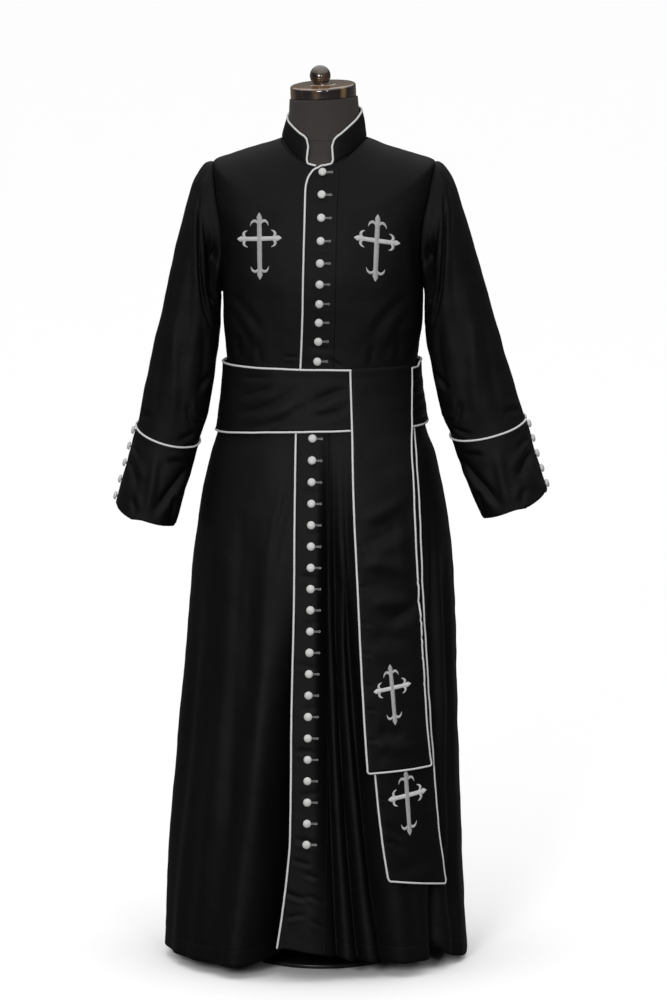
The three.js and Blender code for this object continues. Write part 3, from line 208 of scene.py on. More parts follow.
# The placket: x of its piped edge and of its stitched edge, by height.
PLACKET = {
    "z": [56, 120, 193, 267, 524, 707, 1000, 1143, 1260, 1400, 1455, 1471, 1481, 1491],
    "edge": [-64, -54, -45, -39.5, -38, -35.5, -36, -28, -23.5, -21.5, -21, -18, -13, -5],
    "stitch": [23, 24, 24.5, 25, 24, 23, 23, 30, 34, 36, 37, 38, 36, 30],
}

# The band's edges round the waist.
BAND = {
    "angle": [-180, -90, 0, 16, 24, 76, 82, 90, 180],
    "top": [1128, 1125, 1123, 1122.5, 1118.5, 1120, 1127.5, 1129, 1128],
    "bottom": [1006, 1000, 1013.5, 1015, 1016, 1018, 1019, 1020, 1006],
}

# The tails: x of both edges by height, down the front of the skirt.
FRONT_TAIL = {
    "z": [392, 453, 600, 746, 890, 1000, 1070, 1132],
    "left": [100, 95.5, 86.5, 79, 71, 66.5, 63.5, 61.5],
    "right": [206, 198.5, 189, 180, 171, 163.5, 162, 161],
}
REAR_TAIL = {
    "z": [172, 266, 393, 664, 884, 998, 1050],
    "left": [142, 127.5, 114, 95, 80, 70, 66],
    "right": [236, 224, 214, 195.5, 184, 173.5, 168.5],
}
FRONT_TAIL_END_RISE = (0, 4)  # the end's left and right corners, above the lowest height
REAR_TAIL_END_RISE = (18, -4)

# The dress form above and below the part that the robe's bodice covers.
FORM_NECK = table("left right front back z_front z_side z_back square", [
    ("under the cap", 60.5, 66, 62, 52, 1617, 1617, 1617, 2),
    ("neck", 61.5, 69, 63, 52, 1586, 1586, 1586, 2),
    ("root of the neck", 63.5, 71, 70, 56, 1515, 1554, 1566, 2),
])
FORM_HIPS = table("left right front back z square", [
    ("waist", 163, 163, 111, 95, 1110, 2.3),
    ("upper hip", 167, 167, 116, 106, 1040, 2.3),
    ("hip", 172, 172, 124, 120, 960, 2.3),
    ("below the hip", 170, 170, 124, 122, 895, 2.3),
    ("rounded end", 160, 160, 116, 114, 872, 2.3),
    ("underside", 140, 140, 98, 96, 862, 2.2),
])
CAP_RADIUS = 60.8
CAP_RIM = 19
CAP_TILT_SIDE = 3  # degrees
CAP_TILT_FRONT = 5
CAP_CENTRE = (2.6, -3, 1623)
BALL_RADIUS = 19.3
BALL_RISE = 16.6  # of its centre over the cap's rim
POLE_RADIUS = 16
BASE_RADIUS = 140

# ---------- creases ----------
# Soft troughs (depth under 0) and ridges, each along a line from one point to another.
# bow: how far the line's middle is to the right of its way; width: half-width.
# Millimetres on the front, seen from the front; on the back, seen through from the front.

FRONT_CREASES = table("x z to_x to_z bow depth width", [
    ("fold above the band", -64, 1147, -33, 1149, 0.5, -2.7, 2.2),
    ("drag from the right armhole", -176, 1268, -96, 1176, -9, -2.4, 9),
    ("second drag from the right armhole", -170, 1236, -112, 1140, -5, -2, 8),
    ("beside the right armhole", -166, 1400, -172, 1268, 5, -2.4, 8),
    ("over the right waist", -150, 1190, -146, 1130, 2, -2.5, 7),
    ("second over the right waist", -112, 1176, -108, 1128, -1, -1.7, 6),
    ("pull at the last button", 18, 1150, 52, 1128, 3, -2.4, 4),
    ("drag from the left armhole", 178, 1270, 92, 1168, 10, -2.5, 9),
    ("second drag from the left armhole", 174, 1236, 122, 1132, 6, -2.2, 8),
    ("beside the left armhole", 174, 1404, 176, 1262, -5, -2.6, 8),
    ("over the left waist", 150, 1196, 144, 1130, -2, -2.7, 7),
    ("second over the left waist", 104, 1170, 98, 1128, 2, -1.7, 6),
    ("left chest", 62, 1438, 130, 1400, 5, -0.8, 12),
    ("right chest", -58, 1436, -128, 1404, -4, -0.8, 12),
    ("pull at the second button", -8, 1444, 30, 1438, 2, -0.8, 3.5),
    ("pull at the fifth button", -12, 1331, 28, 1338, -2, -1.4, 3.5),
    ("pull at the seventh button", -14, 1249, 30, 1243, 2, -1.4, 4),
    ("pull at the ninth button", -16, 1170, 30, 1162, 2, -1.5, 4),
    ("pull below the band", -14, 958, 18, 948, 2, -1.7, 4),
    ("pull at the thigh", -30, 905, 12, 897, -2, -1.9, 4),
    ("second pull at the thigh", -20, 826, 20, 836, 3, -1.9, 4.5),
    ("third pull at the thigh", -32, 750, 16, 742, -3, -2, 5),
    ("pull above the knee", -22, 664, 22, 674, 3, -1.9, 4.5),
    ("pull at the knee", -34, 590, 12, 578, -2, -2, 5),
    ("pull below the knee", -26, 508, 20, 516, 2, -2, 5),
    ("pull at the calf", -36, 430, 14, 424, -3, -2.2, 5),
    ("second pull at the calf", -28, 350, 20, 360, 3, -2.2, 5),
    ("pull at the shin", -38, 268, 18, 254, -3, -2.5, 5),
    ("pucker over the hem", -40, 232, 4, 222, 3, -2.8, 3.4),
    ("second pucker over the hem", -20, 204, 22, 188, -3, -2.4, 3.6),
    ("third pucker over the hem", -58, 174, -4, 158, 4, -3.6, 3.8),
    ("fourth pucker over the hem", -14, 166, 28, 138, -4, -3, 3.8),
    ("fifth pucker over the hem", -52, 118, -8, 128, -3, -2.6, 3.6),
    ("sixth pucker over the hem", -4, 122, 26, 100, 2, -2.4, 3.4),
    ("short one beside the placket", -40, 940, -80, 744, 5, -4, 6),
    ("ridge right of the placket", 33, 872, 100, 290, -16, 6, 11),
    ("long one on the right panel", -128, 980, -158, 70, 10, -3.4, 15),
    ("ridge on the right panel", -176, 930, -214, 120, 8, 2.6, 14),
    ("second ridge on the right panel", -92, 900, -116, 90, -6, 2.4, 13),
    ("second long one on the right panel", -226, 880, -268, 90, -7, -3, 14),
    ("valley beside the tails", 226, 850, 246, 330, -5, -7, 7),
    ("ridge beside the tails", 250, 900, 280, 260, -4, 4, 8),
    ("second valley beside the tails", 270, 860, 304, 140, -4, -5, 8),
    ("valley under the rear tail", 236, 240, 262, 40, 3, -4, 9),
])

BACK_CREASES = table("x z to_x to_z bow depth width", [
    ("from the right armhole", -168, 1330, -84, 1226, 10, -2.7, 10),
    ("second from the right armhole", -172, 1280, -110, 1180, 6, -2.4, 9),
    ("from the left armhole", 170, 1336, 92, 1222, -9, -2.7, 10),
    ("second from the left armhole", 174, 1276, 104, 1186, -7, -2.4, 9),
    ("between the shoulder blades", -44, 1402, 52, 1396, -6, -1.5, 12),
    ("right of the spine", -34, 1262, -26, 1140, -3, -2.7, 8),
    ("left of the spine", 38, 1250, 30, 1134, 4, -2.5, 8),
    ("over the right waist", -96, 1204, -84, 1130, -2, -3, 8),
    ("over the left waist", 102, 1198, 88, 1130, 3, -2.8, 8),
    ("far right waist", -142, 1186, -138, 1130, 1, -2.7, 7),
    ("far left waist", 146, 1192, 140, 1130, -1, -2.7, 7),
    ("under the collar", -58, 1500, 60, 1498, -10, -1.4, 9),
])

BAND_CREASES = table("x z to_x to_z bow depth width", [
    ("long diagonal", -156, 1036, -36, 1094, 10, -4.2, 9),
    ("second diagonal", -18, 1056, 66, 1092, -6, -4, 8.5),
    ("short diagonal", -148, 1068, -76, 1098, 4, -3, 7),
    ("low one at the tail", -16, 1042, 62, 1058, 5, -3, 7),
    ("ridge between the diagonals", -132, 1030, -16, 1078, 8, 3.2, 9),
    ("soft one over the piping", -60, 1052, -2, 1068, 4, -1, 7),
    ("under the top edge", -150, 1106, -70, 1112, 3, -1.6, 5),
    ("over the bottom edge", -90, 1026, 6, 1024, -2, -1, 5),
    ("first crush on the wearer's left", 146, 1100, 236, 1102, 1, -3.4, 4.5),
    ("second crush on the wearer's left", 146, 1078, 236, 1074, 2, -3.8, 5),
    ("third crush on the wearer's left", 146, 1052, 236, 1055, -1, -3.6, 4.5),
    ("fourth crush on the wearer's left", 146, 1032, 236, 1030, 1, -2.6, 4),
])

BACK_BAND_CREASES = table("x z to_x to_z bow depth width", [
    ("long one across the back", -120, 1082, 70, 1096, 6, -2.6, 6),
    ("short one on the right", -158, 1052, -60, 1044, -5, -2.4, 5),
    ("short one on the left", 40, 1052, 158, 1040, 6, -2.6, 5.5),
    ("low in the middle", -40, 1030, 56, 1034, -3, -1.8, 5),
    ("crush on the wearer's left", 96, 1104, 184, 1100, 2, -2.8, 5),
])

FRONT_TAIL_CREASES = table("x z to_x to_z bow depth width", [
    ("first soft fold", 74, 806, 176, 862, 8, -4.2, 13),
    ("second soft fold", 80, 742, 186, 690, -12, -5.2, 14),
    ("third soft fold", 120, 664, 198, 716, 6, -4.4, 12),
    ("ridge over the first fold", 78, 850, 166, 898, 6, 4, 12),
    ("ridge over the second fold", 84, 776, 174, 742, -10, 4, 12),
    ("ridge over the third fold", 96, 700, 186, 690, -8, 3, 12),
    ("ridge under the cross", 106, 448, 190, 438, 6, 3.4, 12),
    ("hollow over the cross", 96, 640, 178, 622, -5, -3.1, 14),
    ("hollow under the cross", 112, 470, 168, 462, 6, -3.9, 15),
    ("second hollow under the cross", 108, 424, 196, 446, -4, -2.3, 12),
    ("upper fold", 70, 986, 150, 930, 8, -2.6, 15),
    ("over the band", 74, 1086, 150, 1060, -6, -1, 14),
    ("long one beside the right edge", 166, 900, 182, 690, 5, -2.6, 9),
    ("pucker at the right edge", 176, 735, 196, 727, 1, -2.1, 3),
    ("second pucker at the right edge", 180, 702, 198, 696, -1, -2.3, 3),
    ("third pucker at the right edge", 180, 668, 200, 662, 1, -2.2, 3.2),
    ("fourth pucker at the right edge", 184, 632, 202, 627, -1, -2.3, 3),
    ("fifth pucker at the right edge", 186, 596, 203, 592, 1, -2, 3),
    ("sixth pucker at the right edge", 188, 548, 205, 545, 1, -1.7, 3),
    ("pucker at the left edge", 72, 808, 92, 800, 1, -1.8, 3.2),
    ("second pucker at the left edge", 78, 733, 98, 728, -1, -2, 3),
    ("third pucker at the left edge", 81, 672, 104, 660, 2, -2.2, 3.4),
    ("fourth pucker at the left edge", 86, 612, 104, 604, -1, -1.8, 3),
    ("fifth pucker at the left edge", 90, 556, 108, 548, 1, -2, 3),
    ("sixth pucker at the left edge", 93, 508, 112, 502, -1, -1.8, 3),
    ("seventh pucker at the left edge", 96, 455, 116, 448, 1, -2, 3.2),
])

REAR_TAIL_CREASES = table("x z to_x to_z bow depth width", [
    ("soft fold under the cross", 128, 300, 172, 262, 4, -2.4, 6),
    ("second fold under the cross", 134, 268, 166, 236, -3, -2, 7),
    ("by the end", 150, 208, 222, 226, 5, -2, 12),
    ("pucker at the left edge", 118, 344, 136, 338, 1, -1.7, 3),
    ("second pucker at the left edge", 130, 262, 146, 254, -1, -1.7, 3),
    ("pucker at the right edge", 206, 316, 222, 312, 1, -1.5, 3),
    ("second pucker at the right edge", 212, 258, 226, 252, -1, -1.5, 3),
])

# On a sleeve: angle from its outer side towards its front, and row of the arm's table.
SLEEVE_CREASES = table("angle row to_angle to_row bow depth width", [
    ("deep one before the armhole", 44, 1.7, 126, 4.6, 0, -11, 6.5),
    ("ridge beside the deep one", 68, 1.8, 124, 3.7, 3, 5, 5.5),
    ("hollow in the armpit", 96, 1.3, 142, 3.8, 4, -26, 13),
    ("inner side of the hollow", 120, 1.35, 160, 3.7, 2, -22, 14),
    ("upper side of the hollow", 110, 0.85, 130, 2.5, 0, -17, 9),
    ("bump in the hollow", 108, 2.0, 128, 2.5, 2, 13, 6),
    ("second bump in the hollow", 112, 2.6, 142, 2.95, -2, 15, 6),
    ("third bump in the hollow", 120, 3.15, 154, 3.4, 2, 13, 5),
    ("bunching at the armpit", 146, 1.5, 186, 4.2, 8, -9, 6),
    ("second bunching at the armpit", 168, 1.4, 206, 3.6, 8, -9, 6),
    ("bunching behind the armpit", 196, 1.4, 234, 3.6, -12, -8, 7),
    ("under the armpit", 108, 3.5, 138, 4.7, -5, -5, 6),
    ("short one in the armpit", 150, 2.8, 188, 4.6, -6, -5, 5),
    ("second before the armhole", 34, 1.7, 62, 3.3, -5, -3, 6),
    ("long one down the front", 62, 3.0, 92, 7.4, 10, -3, 11),
    ("ridge down the front", 58, 5.4, 96, 8.8, 6, 3, 9),
    ("second long one down the front", 36, 4.0, 66, 8.7, -6, -3.4, 11),
    ("inner long one", 112, 4.4, 132, 7.6, 10, -3.4, 10),
    ("bend at the elbow", 156, 6.5, 122, 7.2, 3, -5, 6),
    ("second bend at the elbow", 112, 7.5, 134, 8.3, -4, -4, 6),
    ("over the cuff, inside", 146, 8.45, 106, 8.75, 3, -5, 5),
    ("over the cuff, at the side", 124, 8.1, 180, 8.2, -3, -3, 5),
    ("over the cuff, outside", 10, 8.6, 60, 8.3, 4, -2.4, 7),
    ("gather at the head", -6, 1.1, 2, 2.1, 1, -1.8, 4),
    ("second gather at the head", 12, 1.1, 20, 2.3, 1, -2, 4.5),
    ("third gather at the head", 30, 1.2, 38, 2.6, -1, -2.4, 5),
    ("gather behind the head", -24, 1.1, -22, 2.2, -1, -1.8, 5),
    ("down the back", -58, 2.6, -76, 6.6, -10, -4, 10),
    ("second down the back", -92, 3.2, -112, 7.2, 9, -4.2, 10),
    ("back of the elbow", -140, 6.4, -70, 6.1, 8, -3.6, 8),
    ("behind, over the cuff", -130, 8.5, -60, 8.4, -4, -2.8, 6),
])
CUFF_CREASES = table("angle row to_angle to_row bow depth width", [
    ("hollow near the buttons", 6, 9.8, 66, 10.3, 7, -7, 9),
    ("over the hollow", 14, 9.5, 56, 9.6, 4, -2, 6),
    ("ridge down the front", 76, 9.2, 92, 10.95, 3, 3.4, 8),
    ("big diagonal fold", 160, 9.4, 100, 10.8, -7, -8, 9),
    ("below the piping", 98, 9.4, 146, 9.44, 3, -4, 5),
    ("beside the big fold", 130, 10.15, 152, 10.95, 3, -5, 6),
    ("small one at the end", 52, 10.5, 74, 10.9, 3, -3, 6),
    ("inside", 172, 9.5, 186, 10.9, 4, -4, 8),
    ("behind", -70, 9.4, -52, 10.95, -5, -4.6, 9),
    ("second behind", -120, 9.5, -130, 10.95, 5, -4.2, 9),
    ("across the back", -100, 10.1, -30, 10.4, 5, -2.4, 7),
])

# ---------- curves through tables ----------


def smooth_through(places, values):
    """A smooth curve through values at rising places, with no overshoot."""
    places = np.asarray(places, float)
    values = np.asarray(values, float)
    spans = np.diff(places)
    slopes = np.diff(values) / spans
    tangents = np.zeros(len(values))
    tangents[0] = slopes[0]
    tangents[-1] = slopes[-1]
    for i in range(1, len(values) - 1):
        before, after = slopes[i - 1], slopes[i]
        if before * after > 0:
            weight_before = 2 * spans[i] + spans[i - 1]
            weight_after = spans[i] + 2 * spans[i - 1]
            total = weight_before + weight_after
            tangents[i] = total / (weight_before / before + weight_after / after)

    def curve(place):
        clamped = np.clip(place, places[0], places[-1])
        i = np.clip(np.searchsorted(places, clamped, side="right") - 1, 0, len(spans) - 1)
        t = (clamped - places[i]) / spans[i]
        start = values[i] * (1 + 2 * t) + tangents[i] * spans[i] * t
        end = values[i + 1] * (3 - 2 * t) - tangents[i + 1] * spans[i] * (1 - t)
        return start * (1 - t) ** 2 + end * t**2

    return curve


def table_curve(columns, place_column=None):
    """Every column of a table as one smooth curve over its place column, or over its rows."""
    keys = [key for key in columns if key != place_column]
    rows = len(columns[keys[0]])
    places = np.arange(rows) if place_column is None else np.asarray(columns[place_column], float)
    order = np.argsort(places)
    curves = {key: smooth_through(places[order], np.asarray(columns[key])[order]) for key in keys}
    return lambda place: {key: curve(place) for key, curve in curves.items()}


torso_section = table_curve(TORSO)
skirt_section = table_curve(SKIRT, "z")
hem_height = smooth_through(*HEM.values())
collar_edge = smooth_through(*COLLAR_EDGE.values())
placket_edges = table_curve(PLACKET, "z")
band_edges = table_curve(BAND, "angle")
front_tail_edges = table_curve(FRONT_TAIL, "z")
rear_tail_edges = table_curve(REAR_TAIL, "z")
form_clearance = smooth_through(*FORM_CLEARANCE.values())


def lerp(start, end, share):
    return start + (end - start) * share


def smooth_rise(value, start, end):
    """0 before start, 1 after end, and a soft step between them."""
    t = np.clip((value - start) / (end - start), 0, 1)
    return t * t * (3 - 2 * t)


def wrapped(angle):
    return (np.asarray(angle, float) + 180) % 360 - 180


def unit(vectors):
    return vectors / np.maximum(np.linalg.norm(vectors, axis=-1, keepdims=True), 1e-12)


def last_place(holds, shape, end):
    """How far from 0 towards an end something holds, for each place of an array."""
    near = np.zeros(shape)
    far = np.full(shape, float(end))
    for _ in range(HALVINGS):
        middle = (near + far) / 2
        still = holds(middle)
        near = np.where(still, middle, near)
        far = np.where(still, far, middle)
    return far


# ---------- creases and unevenness ----------

CREASE_LIP = 0.45  # height of the ridge beside a crease, as a share of its depth
CREASE_LIP_PLACE = 1.9  # half-widths from the crease's line to that ridge
CREASE_START = 0.3  # share of its length in which a crease deepens
CREASE_END = 0.4  # share in which it fades
CREASE_SOFTNESS = 0.2
SHARP_WIDTH = 9.5  # a narrower crease keeps a round bottom
VALLEY_STEEPNESS = 1.2


def valley(away, softness):
    """The shape of a trough in hanging cloth: sharper at its bottom than a ridge at its top."""
    return np.exp(-VALLEY_STEEPNESS * (np.sqrt(away**2 + softness) - softness**0.5))


def relief(creases, u, v):
    """The sum of a table's creases at places (u, v), all in millimetres."""
    total = np.zeros(np.broadcast(u, v).shape)
    for start_u, start_v, end_u, end_v, bow, depth, width in zip(*creases.values()):
        length = math.hypot(end_u - start_u, end_v - start_v)
        way_u = (end_u - start_u) / length
        way_v = (end_v - start_v) / length
        along = ((u - start_u) * way_u + (v - start_v) * way_v) / length
        aside = (u - start_u) * way_v - (v - start_v) * way_u
        aside = aside - bow * 4 * along * (1 - along)
        fade = smooth_rise(along, 0, CREASE_START) * smooth_rise(1 - along, 0, CREASE_END)
        away = aside / width
        sharp = depth < 0 and width >= SHARP_WIDTH
        trough = valley(away, CREASE_SOFTNESS) if sharp else np.exp(-(away**2))
        lip = np.exp(-((away - CREASE_LIP_PLACE) ** 2))
        total = total + depth * fade * (trough - CREASE_LIP * lip)
    return total


def scaled(creases, per_u, per_v):
    """A crease table from its own units to millimetres."""
    factors = [per_u, per_v, per_u, per_v, 1, 1, 1]
    return {key: values * factor for (key, values), factor in zip(creases.items(), factors)}


SWELLS = [  # waves along u and v in twice the size, phase, share of the height
    (1.0, 0.31, 0.2, 1.0),
    (-0.42, 0.93, 1.7, 0.8),
    (0.73, -1.21, 4.1, 0.7),
    (1.63, 0.55, 2.6, 0.5),
    (-1.12, -1.41, 5.3, 0.5),
    (0.27, 2.13, 0.9, 0.4),
]


def unevenness(u, v, height, size):
    """Low, irregular swells with no pattern, about size millimetres across."""
    total = 0
    for wave_u, wave_v, phase, share in SWELLS:
        total = total + share * np.sin(2 * math.pi * (wave_u * u + wave_v * v) / (2 * size) + phase)
    return height * total / 2


# ---------- surfaces ----------


def on_section(section, angle):
    """The point of a section at an angle from the front, turning to the wearer's left."""
    sine = np.sin(np.radians(angle))
    cosine = np.cos(np.radians(angle))
    power = 2 / section["square"]
    width = np.where(sine < 0, section["left"], section["right"])
    depth = np.where(cosine > 0, section["front"], section["back"])
    x = width * np.sign(sine) * np.abs(sine) ** power
    y = -depth * np.sign(cosine) * np.abs(cosine) ** power
    if "z_side" in section:
        end = np.where(cosine > 0, section["z_front"], section["z_back"])
        z = lerp(section["z_side"], end, cosine**2)
    else:
        z = section["z"]
    return np.stack(np.broadcast_arrays(x, y, z), axis=-1)


def angle_at_x(section, x):
    """The angle at which a section's front half has the given x."""
    width = np.where(x < 0, section["left"], section["right"])
    sine = np.minimum(np.abs(x) / width, 1) ** (section["square"] / 2)
    return np.sign(x) * np.degrees(np.arcsin(sine))


def lifted(surface, lift, step_across=0.4, step_down=0.01):
    """A surface moved along its normal. Surfaces take (across, down), and the normal of
    down x across points out of the cloth."""

    def moved(across, down):
        point = surface(across, down)
        height = lift(across, down, point) if callable(lift) else lift
        out = outward(surface, across, down, step_across, step_down)
        return point + out * np.asarray(height)[..., None]

    return moved


def outward(surface, across, down, step_across=0.4, step_down=0.01):
    """The way out of a surface, from its slopes over a step to either side."""
    along_across = surface(across + step_across, down) - surface(across - step_across, down)
    along_down = surface(across, down + step_down) - surface(across, down - step_down)
    return unit(np.cross(along_down, along_across))


def front_relief(x, z):
    swell = unevenness(x, 0.4 * z, 0.9, 48) + unevenness(z, x, 0.25, 27)
    return relief(FRONT_CREASES, x, z) + swell


def back_relief(x, z):
    swell = unevenness(x + 31, z, 0.8, 58) + unevenness(z, x + 17, 0.3, 25)
    return relief(BACK_CREASES, x, z) + swell


def body_relief(across, down, point):
    """Front creases in front of the side seams, back creases behind them."""
    x, y, z = np.moveaxis(point, -1, 0)
    share = smooth_rise(y, -30, 30)
    return lerp(front_relief(x, z), back_relief(x, z), share)


def torso_base(angle, row):
    return on_section(torso_section(row), angle)


torso = lifted(torso_base, body_relief)
FOLD_GROWTH = 0.5  # share of its length in which a fold grows to its full depth
FOLD_BEND = 2  # how much nearer the hem a fold turns to its angle there
FOLD_SOFTNESS = 0.05
SHARP_DEPTH = -16  # a shallower fold keeps a round bottom
PROBE = 3  # half the span over which the front's slope is taken
HEM_PASSES = 4  # for the height of the hem under a place, which depends on the place's height


def fold_depth(angle, z):
    total = 0
    for top, hem, starts, depth, width in zip(*FOLDS.values()):
        bottom = hem_height(wrapped(hem))
        fallen = np.clip((WAIST_SEAM - z) / (WAIST_SEAM - bottom), 0, 1)
        away = wrapped(angle - lerp(top, hem, fallen**FOLD_BEND)) / width
        grown = smooth_rise(starts - z, 0, FOLD_GROWTH * (starts - bottom))
        shape = valley(away, FOLD_SOFTNESS) if depth <= SHARP_DEPTH else np.exp(-(away**2))
        total = total + depth * grown * shape
    return total


def skirt_base(angle, row):
    """The skirt with its folds: row runs from 0 at the waist seam to 1 at the hem."""
    z = lerp(WAIST_SEAM, hem_height(wrapped(angle)), row)
    point = on_section({**skirt_section(z), "z": z}, angle)
    flat = np.hypot(point[..., 0], point[..., 1])
    scale = (flat + fold_depth(angle, z)) / flat
    return np.stack([point[..., 0] * scale, point[..., 1] * scale, z], axis=-1)


skirt = lifted(skirt_base, body_relief, step_down=0.0005)


def robe_front_base(x, z):
    """The robe's front with no folds in it, by x and height."""
    x, z = np.broadcast_arrays(np.asarray(x, float), np.asarray(z, float))

    def torso_point(row):
        section = torso_section(row)
        return on_section(section, angle_at_x(section, x))

    row = last_place(lambda row: torso_point(row)[..., 2] > z, x.shape, WAIST_ROW)
    section = skirt_section(z)
    low_point = on_section({**section, "z": z}, angle_at_x(section, x))
    y = np.where(z <= WAIST_SEAM, low_point[..., 1], torso_point(row)[..., 1])
    return np.stack([x, y, z], axis=-1)


def front_out(x, z):
    """The way out of the robe's front."""
    across = robe_front_base(x + PROBE, z) - robe_front_base(x - PROBE, z)
    up = robe_front_base(x, z + PROBE) - robe_front_base(x, z - PROBE)
    return unit(np.cross(across, up))


def on_front(x, z, lift=0.0):
    """A point on the robe's front with its creases, moved out by lift."""
    out = front_out(x, z)
    return robe_front_base(x, z) + out * np.asarray(front_relief(x, z) + lift)[..., None]


def row_height(row):
    upper = torso_section(np.minimum(row, WAIST_ROW))["z_front"]
    lower = lerp(WAIST_SEAM, hem_height(0), row - WAIST_ROW)
    return np.where(row <= WAIST_ROW, upper, lower)


def robe_row_base(x, row):
    """The robe's front by x and row: torso rows, and then the skirt as one more row."""
    section = torso_section(np.minimum(row, WAIST_ROW))
    high_point = on_section(section, angle_at_x(section, x))
    z = np.minimum(row_height(row), WAIST_SEAM)
    for _ in range(HEM_PASSES):
        hem = hem_height(angle_at_x(skirt_section(z), x))
        z = lerp(WAIST_SEAM, hem, np.maximum(row - WAIST_ROW, 0))
    section = skirt_section(z)
    low_point = on_section({**section, "z": z}, angle_at_x(section, x))
    return np.where((row <= WAIST_ROW)[..., None], high_point, low_point)


def arm_side(rows):
    """-1 for the arm on the wearer's right, 1 for the one on their left."""
    return np.sign(rows["outer_x"][0])


def arm_base(rows):
    """A sleeve with its cuff, as a tube round the arm's line. Angle 0 is its outer side; the
    angles turn the same way round on both arms."""
    ring_at = table_curve(rows)
    side = arm_side(rows)

    def surface(angle, row):
        ring = ring_at(row)
        cosine = np.cos(np.radians(angle))
        sine = -side * np.sin(np.radians(angle))
        shift = (1 + cosine) / 2
        x = lerp(ring["inner_x"], ring["outer_x"], shift)
        y = ring["centre"] - ring["deep"] * sine
        z = lerp(ring["inner_z"], ring["outer_z"], shift) - ring["drop"] * sine
        return np.stack(np.broadcast_arrays(x, y, z), axis=-1)

    return surface


ARM_PER_DEGREE = 1.15  # millimetres round a sleeve
ARM_PER_ROW = 62  # millimetres down a sleeve
INNER_SIDE = (115, 150)  # angles over which a sleeve turns to the body
BESIDE_BODY = (6.5, 4.5)  # rows over which it comes up to the body, where no ridge has room


def arm_relief(rows, creases, height, size):
    """Creases by angle from the outer side towards the front, and by row."""
    side = arm_side(rows)
    mm_creases = scaled(creases, ARM_PER_DEGREE, ARM_PER_ROW)

    def lift(angle, row, point):
        x, y, z = np.moveaxis(point, -1, 0)
        from_outside = wrapped(-side * angle)
        total = 0
        for turn in (-360, 0, 360):
            total = total + relief(mm_creases, (from_outside + turn) * ARM_PER_DEGREE, row * ARM_PER_ROW)
        inner = smooth_rise(np.abs(from_outside), *INNER_SIDE)
        beside_body = inner * smooth_rise(row, *BESIDE_BODY)
        total = np.where(total > 0, total * (1 - beside_body), total)
        return total + unevenness(x + y, z + side * 40, height, size)

    return lift


def band_section(z):
    """The robe's section at a height, as the band sees it: with no tilt and no folds."""
    seam = WAIST_ROW
    heights = TORSO["z_side"]
    first = seam - (z - WAIST_SEAM) / (heights[seam - 1] - WAIST_SEAM)
    second = seam - 1 - (z - heights[seam - 1]) / (heights[seam - 2] - heights[seam - 1])
    upper = torso_section(np.where(z < heights[seam - 1], first, second))
    lower = skirt_section(z)
    keys = ("left", "right", "front", "back", "square")
    section = {key: np.where(z <= WAIST_SEAM, lower[key], upper[key]) for key in keys}
    return {**section, "z": z}


def waist_surface(angle, z):
    return on_section(band_section(z), angle)


# ---------- meshes ----------


def make_mesh(name, points, faces, uvs=None, smooth=True):
    """A mesh object from millimetre points; uvs are in metres, one for each point."""
    mesh = bpy.data.meshes.new(name)
    mesh.from_pydata((np.asarray(points) * MM).tolist(), [], [list(face) for face in faces])
    if uvs is not None:
        layer = mesh.uv_layers.new(name="cut")
        corners = np.empty(len(mesh.loops), np.int32)
        mesh.loops.foreach_get("vertex_index", corners)
        layer.data.foreach_set("uv", np.asarray(uvs, np.float32)[corners].ravel())
    if smooth:
        mesh.polygons.foreach_set("use_smooth", np.ones(len(mesh.polygons), bool))
    mesh.update()
    piece = bpy.data.objects.new(name, mesh)
    bpy.context.scene.collection.objects.link(piece)
    return piece


def grid_faces(rows, columns, closed, start=0, turned=False):
    """Quads over a grid of points; closed joins the last column to the first."""
    i, j = np.meshgrid(np.arange(rows - 1), np.arange(columns if closed else columns - 1), indexing="ij")
    next_j = (j + 1) % columns
    quads = [i * columns + j, (i + 1) * columns + j, (i + 1) * columns + next_j, i * columns + next_j]
    if turned:
        quads.reverse()
    return (np.stack(quads, axis=-1) + start).reshape(-1, 4)


def steps(length, spacing, rim=RIM):
    """Places from 0 to 1 over a length in mm, with a narrow strip at each end for the rim."""
    count = max(2, round(length / spacing))
    inner = np.linspace(rim / length, 1 - rim / length, count)
    return np.concatenate([[0], inner, [1]])


def run_lengths(points, axis=0):
    """Length along a path, or along a grid's lines, from the start to each point."""
    parts = np.linalg.norm(np.diff(points, axis=axis), axis=-1)
    start = np.zeros_like(np.take(parts, [0], axis=axis))
    return np.cumsum(np.concatenate([start, parts], axis=axis), axis=axis)


def along_line(values, lengths, places):
    """Vectors between those of a line's points, at lengths along it."""
    return np.stack([np.interp(places, lengths, values[:, k]) for k in range(3)], axis=-1)


SEAM_DIP = 0.9  # how far a sewn edge is pulled in
SEAM_REACH = 3.2  # how far from the edge that shows
TUCK_DIP = 4.4  # how far an edge is pulled in where it lies under its neighbour
TUCK_REACH = 7  # how far from that edge it shows
STITCH_DIP = 0.3  # how far a line of stitches sinks in
STITCH_REACH = 1.7
ROUNDING = 0.28  # of the wall, taken off each face at a rim
stitch_lines = []  # (points, ways out) of each line of topstitching


def line_beside(points, out, gap, edge, distance):
    """The line on a shell's face at a distance from one of its edges, and its ways out."""
    if edge in ("left", "right"):
        points, out, gap = (np.swapaxes(array, 0, 1) for array in (points, out, gap))
    if edge in ("bottom", "right"):
        points, out, gap = points[::-1], out[::-1], gap[::-1]
    columns = range(points.shape[1])
    line = [along_line(points[:, column], gap[:, column], distance) for column in columns]
    ways = [along_line(out[:, column], gap[:, column], distance) for column in columns]
    return np.array(line), unit(np.array(ways))


